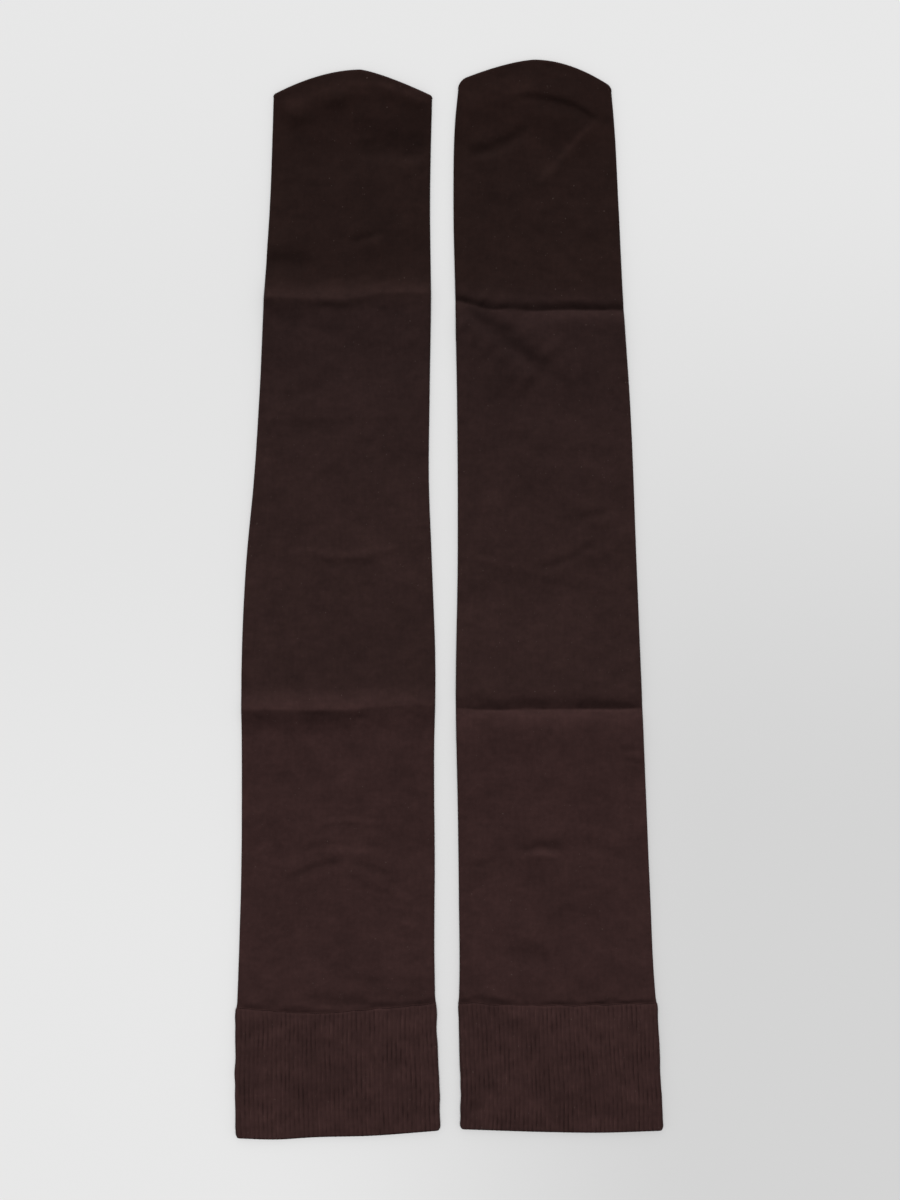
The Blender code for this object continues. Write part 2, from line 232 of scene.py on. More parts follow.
GRAIN_DETAIL = 2.0
GRAIN_ROUGHNESS = 0.55
WALE_WOBBLE = 0.5
WALE_WOBBLE_GRAIN = 0.35
STRAND_ROUNDNESS = 0.6
STITCH_SLANT = -1.7
# Painted shade between the strands of the stitches, where the knit's face lies lowest
STITCH_SHADE = 0.30
STITCH_SHADE_LEAST = 0.80
FLECK_GRAIN = 1300.0
FLECK_STRETCH = (1.0, 0.6, 1.0)
FLECK_LEAST = 0.86
FLECK_PATCH_GRAIN = 40.0
FIBRE_GRAIN = 2600.0
FIBRE_STRETCH = (1.0, 0.45, 1.0)
FIBRE_RELIEF = 0.5
BUMP_HEIGHT = 0.0002
DULLNESS_GRAIN = 300.0
DULLNESS_RANGE = 0.12
DULLNESS_LEAST = 0.82
YARN_SPECULAR = 0.06
YARN_SHEEN = 0.02
YARN_SHEEN_ROUGHNESS = 0.45
YARN_SHEEN_TINT = (0.55, 0.42, 0.38, 1.0)
FINISHES = {
    "plain_knit_finish": Finish(0.55, 0.14, 0.10, mottle=1.0, bump=0.55),
    "ribbed_knit_finish": Finish(0.50, 0.29, 0.36, mottle=1.3, bump=0.55),
    "linking_yarn_finish": Finish(0.10, 0.0, 0.0, mottle=1.0, bump=0.30),
}

# ---- The floor and the camera ----

FLOOR_SIZE = 40.0
FLOOR_DROP = -0.0002
# Where the floor's shade and its dip begin and are full, across the view and up it, DIP_UP from DIP_MIDDLE
SHADE_ACROSS = (-0.13, 0.17)
SHADE_UP = (0.33, -0.16)
DIP_ACROSS = (0.02, -0.10)
DIP_UP = (0.30, 0.03)
DIP_MIDDLE = 0.09
SENSOR_WIDTH = 36.0
CAMERA_ASIDE = (0.0004, -0.0005)

# ---- The tables ----


def creased(over, under):
    """The creases of both layers, from rows of start, end, bow, height, above and below."""
    return tuple(Crease(layer, *row) for layer, rows in ((OVER, over), (UNDER, under)) for row in rows)


LEG_LOFTS = (
    Loft(0.000, 0.0024),
    Loft(0.005, 0.0029),
    Loft(0.012, 0.0031),
    Loft(0.032, 0.0027),
    Loft(0.060, 0.0025),
    Loft(0.540, 0.0025),
    Loft(0.575, 0.0023),
)

CUFF_SHOULDER = (
    Shoulder(0.0000, 0.0035, 0.0004, 0.3),
    Shoulder(0.0010, 0.0037, 0.0002, 0.6),
    Shoulder(0.0025, 0.0038, 0.0001, 0.9),
    Shoulder(0.0050, 0.0040, 0.0000, 1.0),
    Shoulder(0.0090, 0.0042, 0.0000, 1.0),
)

# start, end, bow, height, above, below
LEFT_OVER = (
    # Toe: the seam's inner edge pressing through, and small dents
    ((-34, 617), (21, 638), 1.5, 1.55, 9, 7),
    ((14, 640), (58, 626), 1, 0.9, 3.6, 5.6),
    ((14.6, 609), (15.2, 601.5), 0.3, -0.5, 1, 1.4),
    ((8, 598.6), (56, 597), -1, -1.25, 16, 4.4),
    ((-38, 578.5), (18, 577.5), 0.6, -0.16, 1.8, 2.4),
    ((6, 542.5), (29, 552), -1.5, -0.8, 2.2, 2.8),
    ((21, 552), (26, 518), 1, 0.65, 2.8, 3.4),
    ((-60, 531.5), (-14, 530), -1, -0.9, 10, 6),
    # Upper fold: its sharp line, and the dent under its middle
    ((-56, 508.8), (10, 509), 0.3, 0.8, 6, 5.5),
    ((4, 511.4), (60, 512.2), 0.3, 0.8, 5.5, 22),
    ((-17, 505), (18, 505), -0.8, -0.3, 2.4, 4),
    # Between the folds
    ((-36, 448), (8, 467.5), -2.5, -0.52, 4.4, 4.4),
    ((-47, 436), (50, 437.5), 0.8, 0.26, 8, 2.8),
    ((-16, 404), (3, 415), -1, 0.36, 2.2, 3.2),
    ((18, 409), (29, 425), 1, 0.28, 2.2, 3),
    # The other toe's outline, pressed through while the sock was folded
    ((-24, 357), (40, 359), -5, 0.46, 2.8, 2.2),
    ((-14, 349.5), (24, 350.5), -3, -0.36, 2.8, 3.4),
    ((-50, 331), (-30, 322), 1, 0.32, 4, 5),
    # Lower fold: its sharp line and the long dent under it
    ((-62, 259.6), (18, 260.2), -0.4, 0.8, 7.5, 6.5),
    ((10, 261.6), (62, 262.4), 0.2, 0.45, 6, 14),
    ((-46, 256.4), (24, 256.6), -0.6, -0.3, 3.2, 5),
    ((-50, 239), (-8, 238), 1, 0.26, 5, 5),
    # Below the lower fold: a small bright line and the two arches
    ((-14, 191.6), (27, 191), 0.8, 0.42, 1.5, 1.8),
    ((-26, 172.5), (5, 178.5), 1.5, -0.5, 2.8, 2.6),
    ((-6, 172.8), (30, 171.6), 1.6, 0.36, 2.4, 2.8),
    ((-34, 154), (7, 167.4), 3, -0.66, 2.4, 3),
    ((4, 167.6), (36, 155), 2.5, -0.54, 2.2, 2.8),
    ((14, 159), (48, 141), 1, 0.42, 1.8, 2.6),
    ((30, 131), (52, 126), 1, 0.32, 2, 2.4),
    ((-46, 107.5), (-29, 105.5), 0.5, -0.4, 3, 4),
    ((6, 96.5), (54, 95), -1, -0.36, 3, 4.5),
    # At the cuff's seam
    ((-60, 79), (-44, 77.6), 0, -0.46, 2.2, 1.2),
    ((-40, 77.3), (2, 76.2), -0.3, -0.38, 1.8, 1.2),
    ((-30, 80.8), (-8, 80), 0.3, 0.24, 1.8, 1.4),
    ((-20, 82), (22, 82.6), -1, -0.8, 6, 2.2),
    ((14, 78.4), (60, 81.8), 0, -0.52, 2.6, 1.2),
    ((20, 87), (58, 88), -0.5, -0.34, 4.5, 3),
)
LEFT_UNDER = (
    ((-44, 510.4), (56, 511.4), 0.8, -0.42, 3.4, 4.4),
    ((-52, 260.4), (58, 261.6), -1, -0.44, 4.6, 3.4),
    ((-14, 351), (36, 355), -5, -0.36, 2.8, 3.4),
    ((-34, 158), (36, 152), 11, -0.4, 3, 3.6),
    ((-24, 462), (22, 441), 3, -0.3, 4, 4),
    ((-20, 628), (48, 629), 7, -0.36, 3, 4),
    ((8, 216), (52, 208), -2, -0.3, 3.4, 3),
    ((-42, 82), (20, 80), -1, -0.3, 4, 1.8),
)
LEFT = Sock(
    name="left",
    place_x=-0.0677,
    place_y=-0.3270,
    leg=(
        Section(0.0740, 0.1206, -0.0010),
        Section(0.1082, 0.1187, -0.0007),
        Section(0.1689, 0.1173, 0.0002),
        Section(0.2295, 0.1167, 0.0001),
        Section(0.2840, 0.1177, 0.0004),
        Section(0.3507, 0.1125, 0.0008),
        Section(0.3993, 0.1062, 0.0022),
        Section(0.4478, 0.1034, 0.0040),
        Section(0.5084, 0.1013, 0.0059),
        Section(0.5690, 0.0970, 0.0075),
        Section(0.6330, 0.0961, 0.0092),
    ),
    cuff=(
        Section(0.0000, 0.1242, 0.0002),
        Section(0.0233, 0.1242, -0.0003),
        Section(0.0476, 0.1228, -0.0008),
        Section(0.0820, 0.1222, -0.0012),
    ),
    seam=(
        Edge(-0.0615, 0.0788),
        Edge(-0.0170, 0.0760),
        Edge(0.0230, 0.0785),
        Edge(0.0600, 0.0818),
    ),
    mouth=(
        Edge(-0.0620, 0.0002),
        Edge(-0.0370, -0.0005),
        Edge(-0.0150, 0.0008),
        Edge(0.0210, 0.0018),
        Edge(0.0610, 0.0048),
    ),
    toe=Toe(
        peak_share=0.09,
        peak_along=0.6483,
        left=ToeSide(drop=0.0152, power=1.83, corner=0.0012),
        right=ToeSide(drop=0.0160, power=1.30, corner=0.0014),
    ),
    folds=(
        Fold(
            "ridge", along=0.2610, height=0.0021, above=0.012, below=0.015,
            strongest_share=-0.3, weakest_height=0.50,
            line=(Stray(-1.0, -1.4), Stray(-0.4, -1.3), Stray(0.1, -0.9), Stray(0.5, 1.2), Stray(1.0, 1.6)),
        ),
        Fold(
            "ridge", along=0.5108, height=0.0023, above=0.013, below=0.045,
            strongest_share=0.0, weakest_height=0.80,
            line=(Stray(-1.0, -1.4), Stray(-0.3, -2.0), Stray(0.1, -1.6), Stray(0.35, 0.8), Stray(1.0, 1.2)),
        ),
    ),
    creases=creased(LEFT_OVER, LEFT_UNDER),
    seed=11,
)

# start, end, bow, height, above, below
RIGHT_OVER = (
    # Toe: the seam's inner edge, and the wrinkles where the toe was squashed
    ((-64, 620.5), (-12, 629.5), 0.5, 1.05, 8, 10),
    ((-30, 626.4), (25, 611), 5.5, -1, 1.9, 5.5),
    ((24.5, 614), (-15.5, 571.5), 1, 1.05, 2.1, 6),
    ((-58, 591.5), (-17, 610.5), -4, -1.4, 4.8, 3.4),
    ((-52, 630), (-24, 638), 0.5, 0.3, 3.5, 6),
    ((-50, 563), (-22, 560.5), 0.5, -0.44, 4.5, 4.5),
    ((-24, 554), (16, 514), 2, -0.46, 3.4, 3.4),
    ((-50, 537), (-18, 524), 1.5, 0.34, 3.4, 4),
    ((2, 560), (26, 540), -1, 0.28, 4, 4),
    # Upper fold: its dark line, and the trough that runs down from its left end
    ((-47, 498.6), (42, 498.6), -0.3, -0.45, 2.6, 1),
    ((-68, 505), (-42, 498.4), 0.3, -0.95, 3, 2.4),
    ((-16, 492.6), (46, 493.2), 0.4, 0.62, 3.4, 8),
    ((-61, 500.5), (-9, 458), 0.4, -1.8, 6.4, 5),
    ((-11, 463), (9, 445), 1, -0.42, 5, 5),
    # Between the folds
    ((-12, 434), (-1, 427), 0.4, 0.36, 1.6, 2.2),
    ((-38, 424), (4, 409), -2, -0.32, 5, 5),
    ((4, 405), (36, 392), 2, 0.26, 4, 4),
    ((7, 372), (33, 378), -1, -0.8, 2.4, 3.2),
    ((-18, 341), (22, 358.5), -3.5, -0.8, 3, 2.8),
    ((-58, 351.5), (-16, 340), -2.5, 0.46, 2.4, 3.2),
    ((20, 348), (44, 370), -2, 0.34, 3, 3),
    # Lower fold: its two dark stretches and the edge that catches the light
    ((-52, 256), (-2, 256.4), 0.3, -0.5, 4.6, 1.2),
    ((4, 256.2), (51, 256), 0.2, -0.66, 4.6, 1.2),
    ((-66, 250.6), (52, 250.8), 0.5, 0.4, 3.6, 15),
    ((30, 232), (50.5, 230), 0.8, -0.5, 1.4, 1.6),
    ((34, 227), (51, 221), 0.5, -0.36, 1.4, 1.8),
    # Below the lower fold
    ((-30, 168.6), (4, 169.2), 2.6, -1.1, 4.2, 2.4),
    ((-22, 167.2), (-1, 167), 0.3, 0.36, 1.2, 2.2),
    ((-60, 158.5), (-36, 164.5), 0.8, -0.48, 1.8, 2.4),
    ((2, 176), (46, 160), 3, -0.26, 4, 4),
    ((36, 149.5), (38.5, 137), 0.8, 0.4, 2, 2.4),
    ((-38, 104.5), (-4, 103.5), 0.8, -0.85, 9, 7),
    # At the cuff's seam
    ((-64, 78.2), (-28, 77.2), 0, -0.6, 2.2, 1.2),
    ((-58, 80.4), (-36, 79.8), 0.6, -0.42, 3, 2),
    ((-16, 76.6), (14, 76.8), 0, -0.46, 1.8, 1.2),
    ((10, 77), (30, 77.4), 0, -0.66, 1.6, 1.2),
    ((30, 77.4), (58, 78.2), 0, -0.58, 1.8, 1.2),
)
RIGHT_UNDER = (
    ((-52, 500.4), (36, 499), -0.8, -0.42, 4, 3.2),
    ((-60, 256), (48, 257.6), 0.8, -0.44, 3.4, 4.6),
    ((-30, 346), (22, 352), -6, -0.38, 3, 3.2),
    ((-40, 152), (26, 157), 9, -0.38, 3.2, 3.4),
    ((-40, 430), (10, 452), -3, -0.3, 4, 4),
    ((-46, 622), (16, 618), 8, -0.4, 3, 4),
    ((-8, 560), (24, 548), 2, -0.34, 3, 3.4),
    ((-40, 81), (44, 80), 1, -0.3, 4, 1.8),
)
RIGHT = Sock(
    name="right",
    place_x=0.0681,
    place_y=-0.3229,
    leg=(
        Section(0.0740, 0.1201, -0.0024),
        Section(0.0920, 0.1182, -0.0029),
        Section(0.1405, 0.1162, -0.0042),
        Section(0.1890, 0.1147, -0.0055),
        Section(0.2617, 0.1130, -0.0077),
        Section(0.3466, 0.1085, -0.0088),
        Section(0.4436, 0.1049, -0.0110),
        Section(0.5043, 0.1017, -0.0136),
        Section(0.5649, 0.1000, -0.0156),
        Section(0.6134, 0.0962, -0.0164),
        Section(0.6360, 0.0920, -0.0163),
    ),
    cuff=(
        Section(0.0000, 0.1234, 0.0000),
        Section(0.0192, 0.1222, -0.0002),
        Section(0.0435, 0.1214, -0.0011),
        Section(0.0780, 0.1214, -0.0023),
    ),
    seam=(
        Edge(-0.0630, 0.0780),
        Edge(-0.0020, 0.0763),
        Edge(0.0585, 0.0780),
    ),
    mouth=(
        Edge(-0.0615, 0.0016),
        Edge(-0.0080, -0.0001),
        Edge(0.0220, -0.0005),
        Edge(0.0615, 0.0007),
    ),
    toe=Toe(
        peak_share=0.00,
        peak_along=0.6502,
        left=ToeSide(drop=0.0128, power=1.50, corner=0.0050),
        right=ToeSide(drop=0.0165, power=1.90, corner=0.0025),
    ),
    folds=(
        Fold(
            "valley", along=0.2569, height=0.0020, above=0.011, below=0.013,
            strongest_share=0.1, weakest_height=0.70,
            line=(Stray(-1.0, -0.8), Stray(-0.6, -1.4), Stray(0.0, -0.7), Stray(0.5, -1.1), Stray(1.0, 0.2)),
        ),
        Fold(
            "valley", along=0.4997, height=0.0020, above=0.007, below=0.011,
            strongest_share=0.3, weakest_height=0.50,
            line=(Stray(-1.0, 3.6), Stray(-0.8, 1.1), Stray(-0.5, -1.7), Stray(0.2, -1.8), Stray(1.0, -2.0)),
        ),
    ),
    creases=creased(RIGHT_OVER, RIGHT_UNDER),
    seed=23,
)

# ---- What a user may change ----


class SockSizes(bpy.types.PropertyGroup):
    """Sizes of the knitting."""

    leg_wall: FloatProperty(
        name="Leg wall", description="Thickness of the plain knit", default=0.0010, unit="LENGTH"
    )
    wales: IntProperty(name="Wales", description="Columns of stitches round a leg", default=276)
    course: FloatProperty(
        name="Course", description="Height of one row of stitches", default=0.00062, unit="LENGTH"
    )
    ribs: IntProperty(
        name="Ribs", description="Ribs over a cuff's upper face and side folds", default=46
    )
    rib_pitch: FloatProperty(
        name="Rib pitch", description="From one rib to the next", default=0.0027, unit="LENGTH"
    )
    rib_depth: FloatProperty(
        name="Rib depth",
        description="How deep the grooves between the ribs are",
        default=0.00050,
        unit="LENGTH",
    )
    ripple: FloatProperty(
        name="Ripple",
        description="How much the cloth rises and falls between its creases",
        default=0.00010,
        unit="LENGTH",
    )
    link_pitch: FloatProperty(
        name="Linking pitch",
        description="Length of one stitch of a linking row",
        default=0.00125,
        unit="LENGTH",
    )
    link_yarn: FloatProperty(
        name="Linking yarn",
        description="Radius of the yarn of a linking row",
        default=0.00017,
        unit="LENGTH",
    )


class SockColours(bpy.types.PropertyGroup):
    """Colours of the yarn, from the toe to the cuff, paler towards the cuff as painted light, and of its
    paler fibres.
    """

    toe: FloatVectorProperty(
        name="Toe", description="The knit at the toe", subtype="COLOR", default=(0.0163, 0.0075, 0.0062)
    )
    foot: FloatVectorProperty(
        name="Foot",
        description="The knit above the upper fold",
        subtype="COLOR",
        default=(0.0184, 0.0090, 0.0076),
    )
    instep: FloatVectorProperty(
        name="Instep",
        description="The knit below the upper fold",
        subtype="COLOR",
        default=(0.0249, 0.0128, 0.0119),
    )
    leg: FloatVectorProperty(
        name="Leg",
        description="The knit above the lower fold",
        subtype="COLOR",
        default=(0.0293, 0.0148, 0.0135),
    )
    calf: FloatVectorProperty(
        name="Calf",
        description="The knit below the lower fold",
        subtype="COLOR",
        default=(0.0358, 0.0171, 0.0161),
    )
    cuff: FloatVectorProperty(
        name="Cuff", description="The ribbed knit", subtype="COLOR", default=(0.0378, 0.0181, 0.0169)
    )
    fleck: FloatVectorProperty(
        name="Fleck",
        description="The few paler fibres in the yarn",
        subtype="COLOR",
        default=(0.105, 0.075, 0.066),
    )


class SockStage(bpy.types.PropertyGroup):
    """The floor, the light and the camera."""

    floor_pale: FloatVectorProperty(
        name="Pale floor",
        description="The floor where it is lightest",
        subtype="COLOR",
        default=(0.800, 0.800, 0.800),
    )
    floor_shaded: FloatVectorProperty(
        name="Shaded floor",
        description="The floor at the lower right of the view",
        subtype="COLOR",
        default=(0.655, 0.655, 0.655),
    )
    floor_dip: FloatProperty(
        name="Floor dip", description="How much dimmer the floor is at the left of the view", default=0.035
    )
    key_light: FloatProperty(
        name="Key light", description="Strength of the light from beyond the toes", default=4.15
    )
    key_lean: FloatProperty(
        name="Key light's lean",
        description="How far from overhead the key light stands",
        default=math.radians(62.0),
        subtype="ANGLE",
    )
    key_softness: FloatProperty(
        name="Key light's softness",
        description="How wide the key light looks from the socks",
        default=math.radians(34.0),
        subtype="ANGLE",
    )
    floor_light: FloatProperty(
        name="Floor light",
        description="Strength of the light on the floor, from overhead so that it throws no shadow aside",
        default=1.95,
    )
    room_light: FloatProperty(
        name="Room light", description="Strength of the even light from all round", default=0.385
    )
    camera_height: FloatProperty(
        name="Camera height",
        description="Height of the camera above the floor",
        default=1.7205,
        unit="LENGTH",
    )
    camera_lens: FloatProperty(
        name="Lens", description="Focal length of the camera, in millimetres", default=85.0
    )


# ---- The form of a sock ----


def read_curve(rows, places, column):
    """A table's column at each place, on a smooth curve through its rows, level beyond its ends."""
    knots = np.array([row[0] for row in rows])
    values = np.array([getattr(row, column) for row in rows])
    slopes = np.gradient(values, knots)
    places = np.clip(places, knots[0], knots[-1])
    span = np.clip(np.searchsorted(knots, places) - 1, 0, len(knots) - 2)
    length = knots[span + 1] - knots[span]
    share = (places - knots[span]) / length
    rest = 1.0 - share
    start = rest * rest * ((1.0 + 2.0 * share) * values[span] + share * length * slopes[span])
    end = share * share * ((1.0 + 2.0 * rest) * values[span + 1] - rest * length * slopes[span + 1])
    return start + end


def eased(share):
    """Shares from 0 to 1 that start and end softly."""
    share = np.clip(share, 0.0, 1.0)
    return share * share * (3.0 - 2.0 * share)


def waves(kind, seed, across, along):
    """A soft, even unevenness: many low waves that run every way, more of them across the sock."""
    draw = np.random.default_rng(seed + kind.number)
    total = np.zeros(np.broadcast(across, along).shape)
    power = 0.0
    for _ in range(kind.count):
        length = kind.shortest * (kind.longest / kind.shortest) ** draw.random()
        heading = draw.normal(math.pi / 2.0, WAVE_SPREAD)
        phase = draw.random() * 2.0 * math.pi
        swing = (length / kind.longest) ** 0.5
        turns = (across * math.cos(heading) + along * math.sin(heading)) / length
        total += swing * np.sin(2.0 * math.pi * turns + phase)
        power += swing ** 2 / 2.0
    return kind.height * total / math.sqrt(power)


def corner_drop(distance, radius):
    """How far a rounded corner falls away from its edge, at a distance from the edge's end."""
    inside = np.clip(radius - distance, 0.0, radius)
    return radius - np.sqrt(radius ** 2 - inside ** 2)


def fold_lift(fold, along, share):
    """How far a packing fold lifts both layers off the surface."""
    offset = along - fold.along - read_curve(fold.line, share, "up") * MM
    reach = np.where(offset > 0.0, fold.above, fold.below)
    weaker = np.minimum(np.abs(share - fold.strongest_share), 1.0)
    height = fold.height * (1.0 - (1.0 - fold.weakest_height) * weaker)
    if fold.kind == "ridge":
        rounded = (np.hypot(offset, RIDGE_ROUNDING) - RIDGE_ROUNDING) / reach
        return height * np.maximum(1.0 - rounded, 0.0) ** RIDGE_POWER
    run = np.abs(offset) / reach
    rising = np.sin(np.minimum(run, 1.0) * math.pi / 2.0)
    last = np.where(offset > 0.0, VALLEY_REACH_ABOVE, VALLEY_REACH_BELOW)
    falling = 1.0 - eased((run - 1.0) / (last - 1.0))
    return height * np.where(run <= 1.0, rising, falling)


def toe_drops(toe, share, half_width):
    """How far the toe's edge lies below its peak: along its arch, and round its corner."""
    left_reach = np.maximum(toe.peak_share - share, 0.0) / (toe.peak_share + 1.0)
    right_reach = np.maximum(share - toe.peak_share, 0.0) / (1.0 - toe.peak_share)
    arch = toe.left.drop * left_reach ** toe.left.power + toe.right.drop * right_reach ** toe.right.power
    radius = np.where(share < 0.0, toe.left.corner, toe.right.corner)
    return arch, corner_drop((1.0 - np.abs(share)) * half_width, radius)


def seam_line(sock, across):
    """How far up the sock its seam lies at a place across it, with the small wander of a linked edge."""
    return read_curve(sock.seam, across, "along") + waves(SEAM_WANDER, sock.seed, across, 0.0)


def leg_along(sock, row, share):
    """A leg row's place at a share of the half width: rows bend to the toe's arch and to the seam."""
    from_peak = sock.toe.peak_along - row
    arch, corner = toe_drops(sock.toe, share, sock.leg[-1].width / 2.0)
    toe_bend = arch * eased(1.0 - from_peak / TOE_BLEND) + corner * eased(1.0 - from_peak / TOE_CORNER_BLEND)
    seam_start = sock.seam[0].along
    seam_across = sock.leg[0].drift + share * sock.leg[0].width / 2.0
    seam_rise = seam_line(sock, seam_across) - seam_start
    return row - toe_bend + seam_rise * eased(1.0 - (row - seam_start) / SEAM_BLEND)


def leg_side(sock, row, side):
    """The place across the sock of a row's side fold, which flares a little to meet the cuff."""
    along = leg_along(sock, row, side)
    flare = SEAM_FLARE * eased(1.0 - (row - sock.seam[0].along) / SEAM_FLARE_LENGTH)
    half_width = read_curve(sock.leg, along, "width") / 2.0 + flare
    return read_curve(sock.leg, along, "drift") + side * half_width


def round_stations(shares, side_steps):
    """The places round a flattened tube: over it from left to right, then back under it."""
    turns = np.linspace(math.pi / 2.0, 0.0, side_steps, endpoint=False)
    climb = np.concatenate([turns, np.zeros(len(shares)), turns[::-1]])
    over = np.concatenate([np.full(side_steps, -1.0), shares, np.full(side_steps, 1.0)])
    return Stations(
        share=np.concatenate([over, over[::-1][1:-1]]),
        turn=np.concatenate([climb, climb[::-1][1:-1]]),
        level=np.concatenate([np.full(len(over), OVER), np.full(len(over) - 2, UNDER)]),
    )


def reach_of(stations, half_width, fold_radius):
    """The share of the half width that each station reaches, its turn round the side fold counted in."""
    return stations.share * (half_width - fold_radius * (1.0 - np.sin(stations.turn))) / half_width


def tube_height(stations, low, high):
    """How far above the surface each station lies, on a flattened tube that spans low to high."""
    return (low + high) / 2.0 + stations.level * (high - low) / 2.0 * np.cos(stations.turn)


def crease_relief(crease, across, along, seed):
    """How far one crease raises its layer, and how much it is pressed in along its line.

    A crease of positive height is a ridge, steeper on one side. A crease of negative height on the upper
    layer is a trough between two softly raised sides, because the layer under it lies flat on the surface.
    """
    start = np.array(crease.start) * MM
    chord = np.array(crease.end) * MM - start
    bow = crease.bow * MM
    length = np.linalg.norm(chord)
    side = np.array([-chord[1], chord[0]]) / length * math.copysign(1.0, chord[0])
    from_start = (across - start[0], along - start[1])
    run = (from_start[0] * chord[0] + from_start[1] * chord[1]) / length ** 2
    away = from_start[0] * side[0] + from_start[1] * side[1]
    raised_reach = RAISED_SIDES * max(crease.above, crease.below) * MM
    near = (run > 0.0) & (run < 1.0) & (np.abs(away) < abs(bow) + CREASE_REACH * raised_reach)
    run, away = run[near], away[near]
    slope = bow * 4.0 * (1.0 - 2.0 * run) / length
    away = away - bow * 4.0 * run * (1.0 - run) - waves(CREASE_WANDER, seed, across[near], along[near])
    away = away / np.sqrt(1.0 + slope ** 2)
    width = np.where(away > 0.0, crease.above, crease.below) * MM
    fade = min(CREASE_FADE / length, LONGEST_FADE)
    uneven = 1.0 + waves(CREASE_UNEVENNESS, seed, run * length, 0.0 * run)
    ends = eased(run / fade) * eased((1.0 - run) / fade)
    height = crease.height * MM * ends * uneven
    line = height * np.exp(-((away / width) ** 2))
    sides = 0.0
    if crease.height < 0.0 and crease.layer == OVER:
        sides = height * np.exp(-((away / raised_reach) ** 2))
    relief, pressed = np.zeros(across.shape), np.zeros(across.shape)
    relief[near] = line - sides
    pressed[near] = -line
    return relief, pressed


def leg_relief(sock, layer, across, along, ripple):
    """One layer's creases and ripples, and where it is pressed in. The under layer only lifts."""
    relief, pressed = np.zeros(across.shape), np.zeros(across.shape)
    for number, crease in enumerate(sock.creases):
        if crease.layer == layer:
            seed = sock.seed * SEEDS_A_SOCK + number
            one_relief, one_pressed = crease_relief(crease, across, along, seed)
            relief += one_relief
            pressed += one_pressed
    small = ripple * waves(SMALL_RIPPLE, sock.seed, across, along)
    large = ripple * waves(LARGE_RIPPLE, sock.seed, across, along)
    if layer == OVER:
        return relief + small + large, pressed - small
    return np.minimum(relief - ripple + large, 0.0), pressed


def leg_grid(sock, rows, spreads, inset, stations, ripple):
    """The points of a leg's skin, inset from its outer face, and how far each is pressed in, as a share for
    painted shade in hollows and a painted highlight on ridges.
    """
    row = rows[:, None]
    spread = spreads[:, None]
    left = leg_side(sock, row, -1.0)
    right = leg_side(sock, row, 1.0)
    middle = (left + right) / 2.0
    half_width = (right - left) / 2.0 - inset
    loft = read_curve(LEG_LOFTS, row - sock.seam[0].along, "thickness")
    full = loft + SIDE_FULLNESS * np.abs(stations.share) ** SIDE_FULLNESS_POWER
    half_skin = (full / 2.0 - inset) * spread
    reach = reach_of(stations, half_width, (loft + SIDE_FULLNESS) / 2.0 - inset)
    across = middle + reach * half_width
    along = leg_along(sock, row, reach)
    up = tube_height(stations, full / 2.0 - half_skin, full / 2.0 + half_skin)
    wander = waves(FOLD_WANDER, sock.seed, across, 0.0 * across)
    up = up + sum(fold_lift(fold, along + wander, reach) for fold in sock.folds)

    over, pressed_over = leg_relief(sock, OVER, across, along, ripple)
    under, pressed_under = leg_relief(sock, UNDER, across, along, ripple)
    relief = np.where(stations.level > 0.0, over, under)
    pressed = np.where(stations.level > 0.0, pressed_over, pressed_under)
    if inset > 0.0:
        relief = np.maximum(relief, 0.0) * INNER_FOLLOWS
    relief = relief * spread * (1.0 - SIDE_STILLNESS * np.sin(stations.turn))
    across = across + relief * np.sin(stations.turn) * np.sign(stations.share)
    up = up + relief * np.cos(stations.turn) * stations.level
    return Grid(across, along, up), np.clip(pressed / HOLLOW_FULL, -1.0, 1.0)


def graded(start, stop, coarse, fine, spots, reach):
    """Places from start to stop: a fine step apart near the spots, and a coarse one elsewhere."""
    places = [start]
    while places[-1] < stop:
        nearest = min(abs(places[-1] - spot) for spot in spots)
        places.append(places[-1] + fine + (coarse - fine) * float(eased(nearest / reach)))
    places = np.array(places)
    return start + (places - start) * (stop - start) / (places[-1] - start)


# ---- Meshes ----


def skin_faces(first, rings, count, outward):
    """Four-sided faces between rings that follow each other up the sock, and each corner's ring and column.

    Rings that follow each other down the sock, as a cuff's do, face the other way round.
    """
    ring, column = np.meshgrid(np.arange(rings - 1), np.arange(count), indexing="ij")
    ring, column = ring.ravel(), column.ravel()
    corners = [(ring, column), (ring, column + 1), (ring + 1, column + 1), (ring + 1, column)]
    if not outward:
        corners = corners[::-1]
    faces = np.stack([first + r * count + c % count for r, c in corners], axis=1)
    places = np.stack([np.stack([r, c], axis=1) for r, c in corners], axis=1)
    return faces, places


def end_faces(outer_first, inner_first, count):
    """The strip that closes a wall's open end, between its first outer ring and first inner ring."""
    column = np.arange(count)
    after = (column + 1) % count
    corners = (outer_first + column, inner_first + column, inner_first + after, outer_first + after)
    return np.stack(corners, axis=1)


def toe_faces(first, count, outward):
    """The strip that closes a skin at the toe, between the upper and lower points of its last ring."""
    faces = []
    for step in range(count // 2):
        corners = (step, step + 1, count - step - 1, (count - step) % count)
        face = [first + corner for corner in dict.fromkeys(corners)]
        faces.append(face if outward else face[::-1])
    return faces


def closed(values):
    """A grid's values with their first column repeated after the last, to go all the way round."""
    return np.concatenate([values, values[:, :1]], axis=1)


def wale_places(grid, wales):
    """How many wales round the tube each point lies, by its distance round its own ring."""
    steps = np.hypot(np.diff(closed(grid.across), axis=1), np.diff(closed(grid.up), axis=1))
    round_it = np.concatenate([np.zeros((len(steps), 1)), np.cumsum(steps, axis=1)], axis=1)
    return wales * round_it / round_it[:, -1:]


